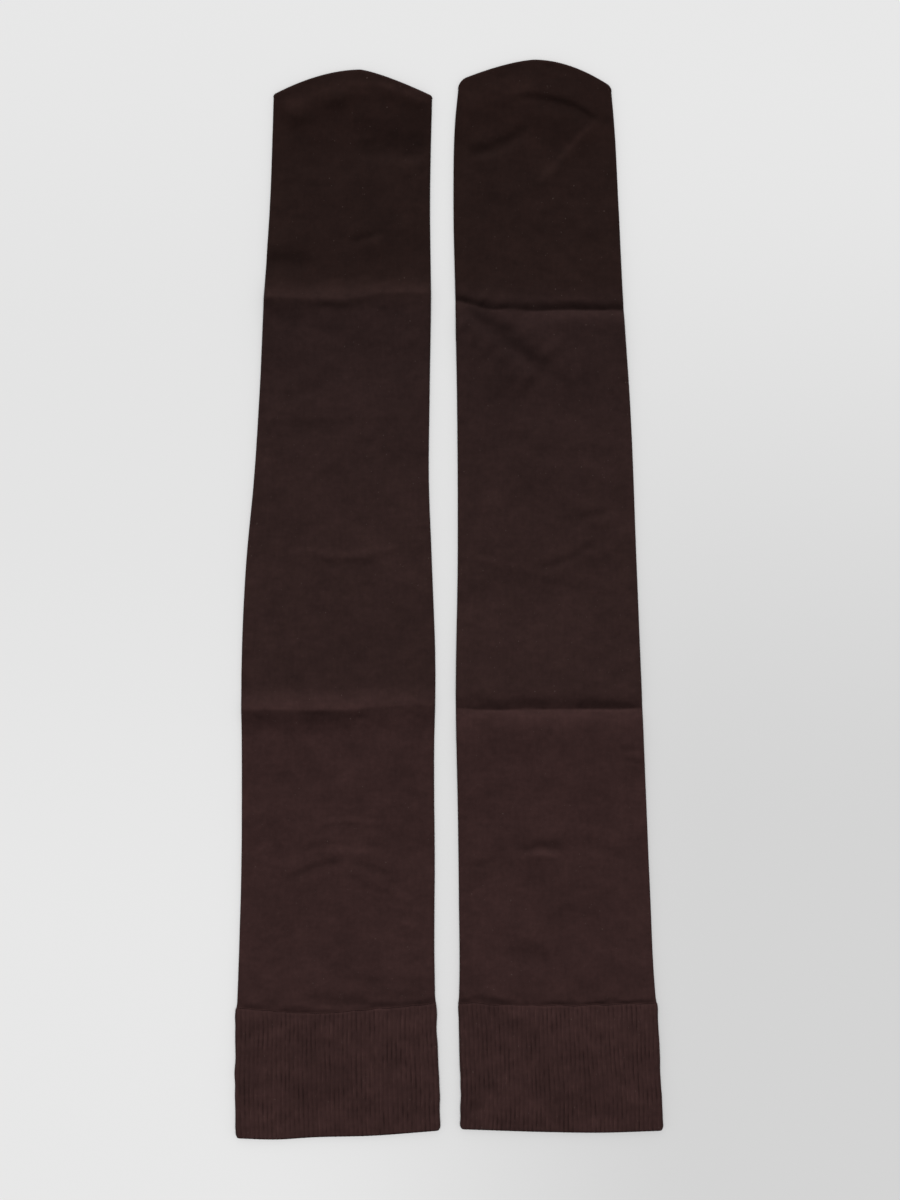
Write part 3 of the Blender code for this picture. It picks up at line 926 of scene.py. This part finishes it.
def corner_stitches(grid, wale, course, corners):
    """The wale and the course that each corner of a skin's faces lies on."""
    ring, column = corners[..., 0].ravel(), corners[..., 1].ravel()
    return np.stack([wale[ring, column], closed(grid.along)[ring, column] / course], axis=1)


def grid_points(sock, grid):
    """A grid's points in the frame that both socks share."""
    places = (grid.across + sock.place_x, grid.along + sock.place_y, grid.up)
    return np.stack([place.ravel() for place in places], axis=1)


def new_piece(name, points, faces, material):
    """A mesh object at the origin, with its place in its points."""
    mesh = bpy.data.meshes.new(name)
    mesh.from_pydata([tuple(point) for point in points.tolist()], [], faces)
    mesh.materials.append(material)
    mesh.shade_smooth()
    mesh.set_sharp_from_angle(angle=math.radians(SMOOTH_ANGLE))
    piece = bpy.data.objects.new(name, mesh)
    bpy.context.scene.collection.objects.link(piece)
    return piece


def store_knit(mesh, stitches, loose, hollow):
    """Stores the stitch under each corner, with none for the loose ones, and each point's painted shade in a
    hollow or painted highlight on a crest.
    """
    places = np.concatenate([*stitches, np.zeros((loose, 2))])
    layer = mesh.uv_layers.new(name="Stitches")
    layer.data.foreach_set("uv", places.astype(np.float32).ravel())
    attribute = mesh.attributes.new("hollow", "FLOAT", "POINT")
    attribute.data.foreach_set("value", hollow.astype(np.float32).ravel())


def declare(piece, replaced=None):
    """Makes a piece ride with the socks, and hides the solid that it stands for."""
    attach(piece, "root")
    if replaced:
        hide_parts(replaced)


# ---- Legs ----


def leg_stations():
    """The stations round a leg, a little closer together towards its side folds."""
    even = np.linspace(-1.0, 1.0, FLAT_STEPS + 1)
    crowded = np.sin(even * math.pi / 2.0)
    return round_stations(even + (crowded - even) * SIDE_CROWDING, SIDE_STEPS)


def leg_rows(sock, coarse, fine):
    """The places of a leg's rings, close together at the seam, the folds and the toe."""
    seam = sock.seam[0].along + SEAM_GAP / 2.0
    spots = [seam, sock.toe.peak_along] + [fold.along for fold in sock.folds]
    return graded(seam, sock.toe.peak_along - NOSE_START, coarse, fine, spots, LEG_FINE_REACH)


def outer_leg_rows(sock):
    """The outer skin's rings, and how thick each is, with the rounded nose that closes the toe."""
    rows = leg_rows(sock, LEG_COARSE_ROW, LEG_FINE_ROW)
    turns = np.radians(np.linspace(90.0, NOSE_LAST_TURN, NOSE_STEPS))
    nose = sock.toe.peak_along - LEG_LOFTS[-1].thickness / 2.0 * (1.0 - np.cos(turns))
    return np.concatenate([rows, nose]), np.concatenate([np.ones(len(rows)), np.sin(turns)])


def leg_cut_area(sock):
    """The flat area of a leg's cloth: its width round the tube, added up from the seam to the toe's arch."""
    rows = np.linspace(sock.seam[0].along, sock.toe.peak_along, AREA_ROWS)
    shares = np.linspace(-1.0, 1.0, AREA_SHARES)
    along = leg_along(sock, rows[:, None], shares[None, :])
    widths = read_curve(sock.leg, rows, "width")
    lengths = np.diff(along, axis=0).mean(axis=1)
    return float(2.0 * (widths[:-1] * lengths).sum())


def make_leg(sock, sizes, material):
    """The plain knitted leg and foot: a flattened tube, open at the seam and closed at the toe."""
    stations = leg_stations()
    count = len(stations.share)
    outer_rows, outer_spreads = outer_leg_rows(sock)
    outer, hollow = leg_grid(sock, outer_rows, outer_spreads, 0.0, stations, sizes.ripple)
    inner_rows = leg_rows(sock, INNER_COARSE_ROW, INNER_FINE_ROW)
    inner_spreads = np.ones(len(inner_rows))
    inner, _ = leg_grid(sock, inner_rows, inner_spreads, sizes.leg_wall, stations, sizes.ripple)
    inner_first = outer.up.size

    points = np.concatenate([grid_points(sock, outer), grid_points(sock, inner)])
    outer_quads, outer_corners = skin_faces(0, len(outer_rows), count, outward=True)
    inner_quads, inner_corners = skin_faces(inner_first, len(inner_rows), count, outward=False)
    strip = end_faces(0, inner_first, count)
    ends = toe_faces(inner_first - count, count, outward=True)
    ends += toe_faces(inner_first + inner.up.size - count, count, outward=False)
    faces = outer_quads.tolist() + inner_quads.tolist() + strip.tolist() + ends

    piece = new_piece(f"{sock.name}_leg_cloth", points, faces, material)
    stitches = [
        corner_stitches(grid, wale_places(grid, sizes.wales), sizes.course, corners)
        for grid, corners in ((outer, outer_corners), (inner, inner_corners))
    ]
    loose = strip.size + sum(len(face) for face in ends)
    store_knit(piece.data, stitches, loose, np.concatenate([hollow.ravel(), np.zeros(inner.up.size)]))
    declare(piece, f"{sock.name}_leg")
    leg_cut_area(sock)


# ---- Cuffs ----


def cuff_stations(ribs):
    """The stations round a cuff, RIB_POINTS to a rib, with one rib in the turn of each side fold."""
    return round_stations(np.linspace(-1.0, 1.0, (ribs - 2) * RIB_POINTS + 1), CUFF_SIDE_STEPS)


def cuff_profile(height):
    """How far each of the cuff's rings lies from its seam, and how far round the rim it has turned."""
    rim_radius = CUFF_WALL / 2.0
    body = np.arange(SHOULDER_RINGS[-1] + CUFF_ROW, height - rim_radius - CLEAR_OF_RIM, CUFF_ROW)
    outside = np.concatenate([SHOULDER_RINGS, body])
    turns = np.linspace(0.0, math.pi, RIM_STEPS + 1)
    rim = height - rim_radius + rim_radius * np.sin(turns)
    inside = np.append(height - np.array(INSIDE_RINGS), 0.0)
    distance = np.concatenate([outside, rim, inside])
    turn = np.concatenate([np.zeros(len(outside)), turns, np.full(len(inside), math.pi)])
    return distance[:, None], turn[:, None]


def cuff_along(sock, distance, across, from_side):
    """How far up the sock a cuff's ring lies, between the seam and the mouth with their rounded corners."""
    height = sock.seam[0].along
    seam = seam_line(sock, across) - SEAM_GAP / 2.0
    seam = seam - corner_drop(from_side, SEAM_CORNER) * eased(1.0 - distance / CORNER_FADE)
    mouth = read_curve(sock.mouth, across, "along")
    mouth = mouth + corner_drop(from_side, MOUTH_CORNER) * eased(1.0 - (height - distance) / CORNER_FADE)
    return seam + (mouth - seam) * distance / height


def rib_relief(sock, rib_pitch, stations, across, along, turn):
    """How deep the unbroken grooves between ribs are, and where painted shade darkens the grooves and a
    painted highlight lightens the crests.
    """
    rib = np.arange(len(stations.share))[None, :] / RIB_POINTS
    sway = waves(RIB_SWAY, sock.seed, across, along * SWAY_LENGTHENED) * (turn < RIM_STARTED)
    groove = (0.5 - 0.5 * np.cos(2.0 * math.pi * (rib + sway))) ** GROOVE_SHARPNESS
    crest = (0.5 + 0.5 * np.cos(2.0 * math.pi * (rib + sway + CREST_ASIDE))) ** CREST_SHARPNESS
    own_groove = np.floor(rib) * rib_pitch * RIBS_APART
    own_crest = np.floor(rib + 0.5) * rib_pitch * RIBS_APART
    dark = GROOVE_DARKNESS + waves(GROOVE_PATCHES, sock.seed, own_groove, along)
    dark += waves(GROOVE_BREAKS, sock.seed, own_groove, along)
    dark *= np.clip(BAND_DARKNESS + waves(BAND_PATCHES, sock.seed, across, along), *BAND_LIMITS)
    dark = np.clip(dark, *GROOVE_LIMITS)
    pale = np.clip(CREST_PAINTED_HIGHLIGHT + waves(CREST_PATCHES, sock.seed, own_crest, along), 0.0, 1.0)
    depth = groove * (STEADY_GROOVE + (1.0 - STEADY_GROOVE) * dark)
    return depth, groove * dark - crest * pale


def cuff_grid(sock, sizes, stations):
    """The points of a cuff's whole skin, and how much painted shade darkens each in a groove or a painted
    highlight lightens it on a crest.
    """
    height = sock.seam[0].along
    distance, turn = cuff_profile(height)
    nominal = height - distance
    inward = CUFF_WALL / 2.0 * (1.0 - np.cos(turn))
    turned_in = turn > TURNED_IN
    near_seam = turned_in * eased(1.0 - distance / SEAM_TURNING)
    low = inward - near_seam * SEAM_TURNING_SIDE
    high = read_curve(CUFF_SHOULDER, distance, "high")
    top = np.where(turned_in, CUFF_HIGH, high) - inward - near_seam * (SEAM_TURNING_TOP - SEAM_TURNING_SIDE)
    side_inset = read_curve(CUFF_SHOULDER, distance, "side_inset") * (turn == 0.0)
    middle = read_curve(sock.cuff, nominal, "drift")
    outer_half = read_curve(sock.cuff, nominal, "width") / 2.0
    half_width = outer_half - side_inset - low
    across = middle + reach_of(stations, half_width, (top - low) / 2.0) * half_width
    up = tube_height(stations, low, top)

    along = cuff_along(sock, distance, across, outer_half - np.abs(across - middle))

    groove, shade = rib_relief(sock, sizes.rib_pitch, stations, across, along, turn)
    share = read_curve(CUFF_SHOULDER, distance, "rib_share")
    share = share * np.where(turned_in, eased(1.0 - nominal / TURNED_RIBS), 1.0)
    ripple = waves(CUFF_RIPPLE, sock.seed, across, along)
    ripple = np.where(stations.level > 0.0, ripple, -np.abs(ripple) * UNDER_RIPPLE) * (turn < RIM_CRESTED)
    ripple = ripple * eased(distance / CORNER_FADE) * eased(nominal / CORNER_FADE)
    cut = sizes.rib_depth * share * groove - ripple
    facing = np.where(turn > RIM_CRESTED, -1.0, 1.0)
    across = across - cut * facing * np.sin(stations.turn) * np.sign(stations.share)
    up = up - cut * facing * np.cos(stations.turn) * stations.level
    return Grid(across, along, up), shade * share


def make_cuff(sock, sizes, material):
    """The ribbed cuff: a flattened band whose wall is turned round at the mouth."""
    stations = cuff_stations(sizes.ribs)
    count = len(stations.share)
    grid, shade = cuff_grid(sock, sizes, stations)
    rings = len(grid.up)
    quads, corners = skin_faces(0, rings, count, outward=False)
    strip = end_faces((rings - 1) * count, 0, count)
    faces = quads.tolist() + strip.tolist()
    piece = new_piece(f"{sock.name}_cuff_cloth", grid_points(sock, grid), faces, material)

    wale = np.tile(np.arange(count + 1) / RIB_POINTS * WALES_A_RIB, (rings, 1))
    store_knit(piece.data, [corner_stitches(grid, wale, sizes.course, corners)], strip.size, shade)
    declare(piece, f"{sock.name}_cuff")


# ---- Linking rows ----


def model_link(sizes):
    """One linking stitch, lying along X: a loop of yarn, drawn out and pinched at its far end."""
    bpy.ops.object.select_all(action="DESELECT")
    bpy.ops.mesh.primitive_torus_add(
        major_segments=LINK_SIDES[0],
        minor_segments=LINK_SIDES[1],
        major_radius=sizes.link_pitch * LINK_LOOP,
        minor_radius=sizes.link_yarn,
        location=(0.0, 0.0, 0.0),
    )
    link = bpy.context.object
    bpy.ops.object.mode_set(mode="EDIT")
    bpy.ops.mesh.select_all(action="SELECT")
    bpy.ops.transform.resize(value=LINK_DRAWN_OUT)
    bpy.ops.object.mode_set(mode="OBJECT")
    mesh = link.data
    points = np.array([vert.co for vert in mesh.vertices])
    faces = np.array([tuple(face.vertices) for face in mesh.polygons])
    bpy.data.objects.remove(link)
    bpy.data.meshes.remove(mesh)
    reach = np.abs(points[:, 0]).max()
    points[:, 1] *= 1.0 - LINK_PINCH * points[:, 0] / reach
    points[:, 2] += LINK_TILT * sizes.link_yarn * points[:, 0] / reach
    return points, faces


def spaced(path, step, closed_path):
    """Points along a path, as near a step apart as fits it, and the path's direction at each."""
    line = np.concatenate([path, path[:1]]) if closed_path else path
    far = np.concatenate([[0.0], np.cumsum(np.linalg.norm(np.diff(line, axis=0), axis=1))])
    number = round(far[-1] / step)
    at = (np.arange(number) + 0.5) * far[-1] / number
    ahead = np.minimum(at + step / 2.0, far[-1])
    behind = np.maximum(at - step / 2.0, 0.0)
    places, later, earlier = (
        np.stack([np.interp(where, far, line[:, axis]) for axis in range(3)], axis=1)
        for where in (at, ahead, behind)
    )
    heading = later - earlier
    return places, heading / np.linalg.norm(heading, axis=1, keepdims=True)


def lay_links(name, link, places, heading, outward, material):
    """Copies of the linking stitch along a row, each turned to lie flat on the cloth, as one piece."""
    points, faces = link
    outward = outward - (outward * heading).sum(axis=1, keepdims=True) * heading
    outward = outward / np.linalg.norm(outward, axis=1, keepdims=True)
    sideways = np.cross(outward, heading)
    axes = np.stack([heading, sideways, outward], axis=1)
    laid = places[:, None, :] + np.einsum("pk,nkx->npx", points, axes)
    numbers = np.arange(len(places))[:, None, None] * len(points) + faces[None, :, :]
    return new_piece(name, laid.reshape(-1, 3), numbers.reshape(-1, 4).tolist(), material)


def make_cuff_links(sock, sizes, link, material):
    """The row that links a leg to its cuff, all the way round the seam."""
    row = np.array([sock.seam[0].along])
    ring, _ = leg_grid(sock, row, np.ones(1), 0.0, leg_stations(), sizes.ripple)
    middle = (ring.across.max() + ring.across.min()) / 2.0
    inward = 1.0 - LINK_SUNK / (ring.across.max() - middle)
    across = middle + (ring.across - middle) * inward
    top = ring.up.max()
    up = LINK_LIFT + ring.up * (top - LINK_LIFT) / top
    path = grid_points(sock, Grid(across, ring.along, up))
    places, heading = spaced(path, sizes.link_pitch, closed_path=True)
    outward = places - np.array([middle + sock.place_x, 0.0, top / 2.0])
    outward = outward * (LINK_LEAN_ACROSS, 0.0, 1.0)
    piece = lay_links(f"{sock.name}_cuff_links", link, places, heading, outward, material)
    declare(piece)


def make_toe_links(sock, sizes, link, material):
    """The row that closes the toe, along its arch."""
    row = np.array([sock.toe.peak_along])
    ring, _ = leg_grid(sock, row, np.full(1, TOE_LINE_SPREAD), 0.0, leg_stations(), sizes.ripple)
    half = SIDE_STEPS * 2 + FLAT_STEPS + 1
    path = grid_points(sock, Grid(*(values[:, :half] for values in ring)))
    path[:, 1] -= sizes.link_yarn * TOE_LINK_SUNK
    places, heading = spaced(path, sizes.link_pitch, closed_path=False)
    outward = np.tile([0.0, 1.0, 0.0], (len(places), 1))
    piece = lay_links(f"{sock.name}_toe_links", link, places, heading, outward, material)
    declare(piece)


# ---- Materials ----


def feed(tree, value, socket):
    """Links a socket to another one, or sets it to a value."""
    if isinstance(value, bpy.types.NodeSocket):
        tree.links.new(value, socket)
    else:
        socket.default_value = value


def reckon(tree, operation, *values):
    """A Math node."""
    node = tree.nodes.new("ShaderNodeMath")
    node.operation = operation
    for socket, value in zip(node.inputs, values):
        feed(tree, value, socket)
    return node.outputs[0]


def cloud(tree, place, scale, stretch=EVEN, detail=GRAIN_DETAIL):
    """A soft noise, from 0 to 1, whose grains are stretched along an axis."""
    mapping = tree.nodes.new("ShaderNodeMapping")
    feed(tree, place, mapping.inputs["Vector"])
    mapping.inputs["Scale"].default_value = stretch
    noise = tree.nodes.new("ShaderNodeTexNoise")
    noise.inputs["Scale"].default_value = scale
    noise.inputs["Detail"].default_value = detail
    noise.inputs["Roughness"].default_value = GRAIN_ROUGHNESS
    feed(tree, mapping.outputs["Vector"], noise.inputs["Vector"])
    return noise.outputs[0]


def mottled(tree, shade, place, mottle, strength):
    """A shade times a noise that swings about 1."""
    noise = cloud(tree, place, mottle.scale, mottle.stretch)
    swing = mottle.swing * strength
    return reckon(tree, "MULTIPLY", shade, reckon(tree, "MULTIPLY_ADD", noise, 2.0 * swing, 1.0 - swing))


def object_place(tree):
    """Where a point of the piece is, in the frame's own metres."""
    return tree.nodes.new("ShaderNodeTexCoord").outputs["Object"]


def across_and_up(tree, place):
    """The X and the Y of a place."""
    split = tree.nodes.new("ShaderNodeSeparateXYZ")
    feed(tree, place, split.inputs["Vector"])
    return split.outputs["X"], split.outputs["Y"]


def risen(tree, value, start, stop, way="SMOOTHSTEP"):
    """A share that rises from 0 to 1 as a value goes from start to stop."""
    reach = tree.nodes.new("ShaderNodeMapRange")
    reach.interpolation_type = way
    feed(tree, value, reach.inputs["Value"])
    reach.inputs["From Min"].default_value = start
    reach.inputs["From Max"].default_value = stop
    return reach.outputs["Result"]


def mixed(tree, share, first, second):
    """A colour that goes from a first one to a second."""
    mix = tree.nodes.new("ShaderNodeMix")
    mix.data_type = "RGBA"
    for socket, value in (("Factor", share), ("A", first), ("B", second)):
        feed(tree, value, mix.inputs[socket])
    return mix.outputs["Result"]


def dimmed(tree, colour, shade):
    """A colour times a shade."""
    scaled = tree.nodes.new("ShaderNodeVectorMath")
    scaled.operation = "SCALE"
    feed(tree, colour, scaled.inputs[0])
    feed(tree, shade, scaled.inputs["Scale"])
    return scaled.outputs["Vector"]


def stitch_height(tree, loopiness):
    """The height of the knit's face: two slanting strands a wale, one stitch lapped on the next."""
    stitches = tree.nodes.new("ShaderNodeUVMap")
    stitches.uv_map = "Stitches"
    wale, course = across_and_up(tree, stitches.outputs["UV"])
    wobble = cloud(tree, stitches.outputs["UV"], WALE_WOBBLE_GRAIN)
    wale = reckon(tree, "MULTIPLY_ADD", wobble, WALE_WOBBLE, wale)
    from_middle = reckon(tree, "ABSOLUTE", reckon(tree, "SUBTRACT", reckon(tree, "FRACT", wale), 0.5))
    strand = reckon(tree, "SINE", reckon(tree, "MULTIPLY", from_middle, 2.0 * math.pi))
    strand = reckon(tree, "POWER", reckon(tree, "MAXIMUM", strand, 0.0), STRAND_ROUNDNESS)
    slanted = reckon(tree, "MULTIPLY_ADD", from_middle, STITCH_SLANT, course)
    lap = reckon(tree, "SINE", reckon(tree, "MULTIPLY", reckon(tree, "FRACT", slanted), math.pi))
    lap = reckon(tree, "MULTIPLY_ADD", lap, loopiness, 1.0 - loopiness)
    return reckon(tree, "MULTIPLY", strand, lap)


def yarn_colour_and_painted_light(tree, colours, place):
    """The yarn's colour up the sock, from the cuff to the toe, with painted light that makes it paler
    towards the cuff.
    """
    ramp = tree.nodes.new("ShaderNodeValToRGB")
    ramp.color_ramp.interpolation = "EASE"
    while len(ramp.color_ramp.elements) < len(YARN_STOPS_WITH_PAINTED_LIGHT):
        ramp.color_ramp.elements.new(0.5)
    for element, (share, colour) in zip(ramp.color_ramp.elements, YARN_STOPS_WITH_PAINTED_LIGHT):
        element.position = share
        element.color = (*getattr(colours, colour), 1.0)
    _, up = across_and_up(tree, place)
    feed(tree, risen(tree, up, YARN_FROM, YARN_TO, "LINEAR"), ramp.inputs["Fac"])
    return ramp.outputs["Color"]


def mottle_and_painted_light(tree, place, height, finish):
    """How light the yarn is: mottled at random, with painted shade between stitches and in hollows and
    grooves, and a painted highlight on crests and ridges.
    """
    # Each point's painted shade in a hollow (above 0) or painted highlight on a crest (below 0)
    hollow = tree.nodes.new("ShaderNodeAttribute")
    hollow.attribute_name = "hollow"
    in_hollow = reckon(tree, "MAXIMUM", hollow.outputs["Fac"], 0.0)
    on_crest = reckon(tree, "MAXIMUM", reckon(tree, "MULTIPLY", hollow.outputs["Fac"], -1.0), 0.0)
    shade = 1.0
    for mottle in WIDE_MOTTLES:
        shade = mottled(tree, shade, place, mottle, finish.mottle)
    for mottle in FINE_MOTTLES:
        shade = mottled(tree, shade, place, mottle, 1.0)
    # Painted shade between the stitches and in hollows, and a painted highlight on crests
    for value, weight, least in (
        (height, STITCH_SHADE, STITCH_SHADE_LEAST),
        (in_hollow, -finish.hollow_shade, 1.0),
        (on_crest, finish.crest_gleam, 1.0),
    ):
        shade = reckon(tree, "MULTIPLY", shade, reckon(tree, "MULTIPLY_ADD", value, weight, least))
    return shade


def new_material(name):
    """A material, its nodes and its shader."""
    material = bpy.data.materials.new(name)
    material.use_nodes = True
    return material, material.node_tree, material.node_tree.nodes["Principled BSDF"]


def knit_material(name, colours):
    """A dull dark knit: mottled yarn with painted light and shade, a few paler fibres, stitches and stray
    fibres in relief.
    """
    material, tree, shader = new_material(name)
    finish = FINISHES[name]
    place = object_place(tree)
    height = stitch_height(tree, finish.loopiness)

    yarn = dimmed(tree, yarn_colour_and_painted_light(tree, colours, place), mottle_and_painted_light(tree, place, height, finish))
    flecks = cloud(tree, place, FLECK_GRAIN, FLECK_STRETCH, detail=0.0)
    patches = cloud(tree, place, FLECK_PATCH_GRAIN, detail=1.0)
    flecked = reckon(tree, "MULTIPLY", reckon(tree, "GREATER_THAN", flecks, FLECK_LEAST), patches)
    feed(tree, mixed(tree, flecked, yarn, (*colours.fleck, 1.0)), shader.inputs["Base Color"])

    fibres = cloud(tree, place, FIBRE_GRAIN, FIBRE_STRETCH)
    bumped = tree.nodes.new("ShaderNodeBump")
    bumped.inputs["Strength"].default_value = finish.bump
    bumped.inputs["Distance"].default_value = BUMP_HEIGHT
    feed(tree, reckon(tree, "MULTIPLY_ADD", fibres, FIBRE_RELIEF, height), bumped.inputs["Height"])
    feed(tree, bumped.outputs["Normal"], shader.inputs["Normal"])

    dullness = cloud(tree, place, DULLNESS_GRAIN)
    dullness = reckon(tree, "MULTIPLY_ADD", dullness, DULLNESS_RANGE, DULLNESS_LEAST)
    feed(tree, dullness, shader.inputs["Roughness"])
    shader.inputs["Specular IOR Level"].default_value = YARN_SPECULAR
    shader.inputs["Sheen Weight"].default_value = YARN_SHEEN
    shader.inputs["Sheen Roughness"].default_value = YARN_SHEEN_ROUGHNESS
    shader.inputs["Sheen Tint"].default_value = YARN_SHEEN_TINT
    return material


def floor_material(stage):
    """A plain pale floor that is a little darker towards the lower right of the view."""
    material, tree, shader = new_material("pale_floor")
    aside, up = across_and_up(tree, object_place(tree))
    shade = reckon(tree, "MULTIPLY", risen(tree, aside, *SHADE_ACROSS), risen(tree, up, *SHADE_UP))
    from_dip = reckon(tree, "ABSOLUTE", reckon(tree, "SUBTRACT", up, DIP_MIDDLE))
    dip = reckon(tree, "MULTIPLY", risen(tree, from_dip, *DIP_UP), risen(tree, aside, *DIP_ACROSS))
    dip = reckon(tree, "MULTIPLY_ADD", dip, -stage.floor_dip, 1.0)
    colour = mixed(tree, shade, (*stage.floor_pale, 1.0), (*stage.floor_shaded, 1.0))
    feed(tree, dimmed(tree, colour, dip), shader.inputs["Base Color"])
    shader.inputs["Roughness"].default_value = 1.0
    shader.inputs["Specular IOR Level"].default_value = 0.0
    return material


# ---- Operators ----


def shared_knit(colours, name):
    """The finish of a kind of knit, made once and then shared."""
    return bpy.data.materials.get(name) or knit_material(name, colours)


def lay_floor(stage):
    """The pale floor, a hair below the surface that the socks lie on."""
    bpy.ops.object.select_all(action="DESELECT")
    bpy.ops.mesh.primitive_plane_add(size=FLOOR_SIZE, location=(0.0, 0.0, FLOOR_DROP))
    bpy.ops.object.transform_apply(location=True)
    floor = bpy.context.object
    floor.name = "floor"
    floor.data.materials.append(floor_material(stage))
    return floor


def add_sun(name, strength, softness, lean):
    """A wide soft light from beyond the toes, or from overhead with no lean."""
    sun = bpy.data.lights.new(name, "SUN")
    sun.energy = strength
    sun.angle = softness
    light = bpy.data.objects.new(name, sun)
    light.rotation_euler = (-lean, 0.0, 0.0)
    bpy.context.scene.collection.objects.link(light)
    return light


def light_only(light, piece, state):
    """Lets a light fall on one piece only, or on all but that piece."""
    receivers = bpy.data.collections.new(f"{light.name}_falls_on")
    receivers.objects.link(piece)
    light.light_linking.receiver_collection = receivers
    receivers.collection_objects[0].light_linking.link_state = state


def light_room(scene, stage):
    """The even white light from all round."""
    room = bpy.data.worlds.new("room")
    room.use_nodes = True
    background = room.node_tree.nodes["Background"]
    background.inputs["Color"].default_value = (1.0, 1.0, 1.0, 1.0)
    background.inputs["Strength"].default_value = stage.room_light
    scene.world = room


def aim_camera(scene, stage):
    """The camera straight above the pair, looking down."""
    lens = bpy.data.cameras.new("camera")
    lens.lens = stage.camera_lens
    lens.sensor_width = SENSOR_WIDTH
    camera = bpy.data.objects.new("camera", lens)
    camera.location = (*CAMERA_ASIDE, stage.camera_height)
    scene.collection.objects.link(camera)
    scene.camera = camera
    scene.view_settings.view_transform = "Standard"


class SOCKS_OT_legs(bpy.types.Operator):
    """Knit both plain legs, with their packing folds and creases"""

    bl_idname = "socks.legs"
    bl_label = "Knit the legs"

    def execute(self, context):
        material = shared_knit(context.scene.sock_colours, "plain_knit_finish")
        for sock in (LEFT, RIGHT):
            make_leg(sock, context.scene.sock_sizes, material)
        return {"FINISHED"}


class SOCKS_OT_cuffs(bpy.types.Operator):
    """Knit both ribbed cuffs, turned in at the mouth"""

    bl_idname = "socks.cuffs"
    bl_label = "Knit the cuffs"

    def execute(self, context):
        material = shared_knit(context.scene.sock_colours, "ribbed_knit_finish")
        for sock in (LEFT, RIGHT):
            make_cuff(sock, context.scene.sock_sizes, material)
        return {"FINISHED"}


class SOCKS_OT_links(bpy.types.Operator):
    """Link the cuffs to the legs, and close the toes"""

    bl_idname = "socks.links"
    bl_label = "Work the linking rows"

    def execute(self, context):
        sizes = context.scene.sock_sizes
        material = shared_knit(context.scene.sock_colours, "linking_yarn_finish")
        link = model_link(sizes)
        for sock in (LEFT, RIGHT):
            make_cuff_links(sock, sizes, link, material)
            make_toe_links(sock, sizes, link, material)
        return {"FINISHED"}


class SOCKS_OT_stage(bpy.types.Operator):
    """Set the pale floor, the soft light and the camera straight above the socks"""

    bl_idname = "socks.stage"
    bl_label = "Set the stage"

    def execute(self, context):
        stage = context.scene.sock_stage
        floor = lay_floor(stage)
        key = add_sun("key_light", stage.key_light, stage.key_softness, stage.key_lean)
        overhead = add_sun("floor_light", stage.floor_light, stage.key_softness, 0.0)
        light_only(key, floor, "EXCLUDE")
        light_only(overhead, floor, "INCLUDE")
        light_room(context.scene, stage)
        aim_camera(context.scene, stage)
        return {"FINISHED"}


class SOCKS_PT_pair(bpy.types.Panel):
    """Builds the pair of socks, step by step"""

    bl_label = "Pair of long socks"
    bl_idname = "SOCKS_PT_pair"
    bl_space_type = "VIEW_3D"
    bl_region_type = "UI"
    bl_category = "Socks"

    def draw(self, context):
        for step in STEPS:
            self.layout.operator(step.bl_idname)
        for group in (context.scene.sock_sizes, context.scene.sock_colours, context.scene.sock_stage):
            box = self.layout.box()
            for name in group.__annotations__:
                box.prop(group, name)


GROUPS = (SockSizes, SockColours, SockStage)
STEPS = (SOCKS_OT_stage, SOCKS_OT_legs, SOCKS_OT_cuffs, SOCKS_OT_links)


def register():
    """Makes the groups, the operators and the panel known."""
    for each in (*GROUPS, *STEPS, SOCKS_PT_pair):
        bpy.utils.register_class(each)
    bpy.types.Scene.sock_sizes = PointerProperty(type=SockSizes)
    bpy.types.Scene.sock_colours = PointerProperty(type=SockColours)
    bpy.types.Scene.sock_stage = PointerProperty(type=SockStage)


def unregister():
    """Takes them away again."""
    del bpy.types.Scene.sock_stage
    del bpy.types.Scene.sock_colours
    del bpy.types.Scene.sock_sizes
    for each in reversed((*GROUPS, *STEPS, SOCKS_PT_pair)):
        bpy.utils.unregister_class(each)


def main():
    """Builds the whole pair."""
    register()
    bpy.ops.socks.stage()
    bpy.ops.socks.legs()
    bpy.ops.socks.cuffs()
    bpy.ops.socks.links()


if __name__ == "__main__":
    main()
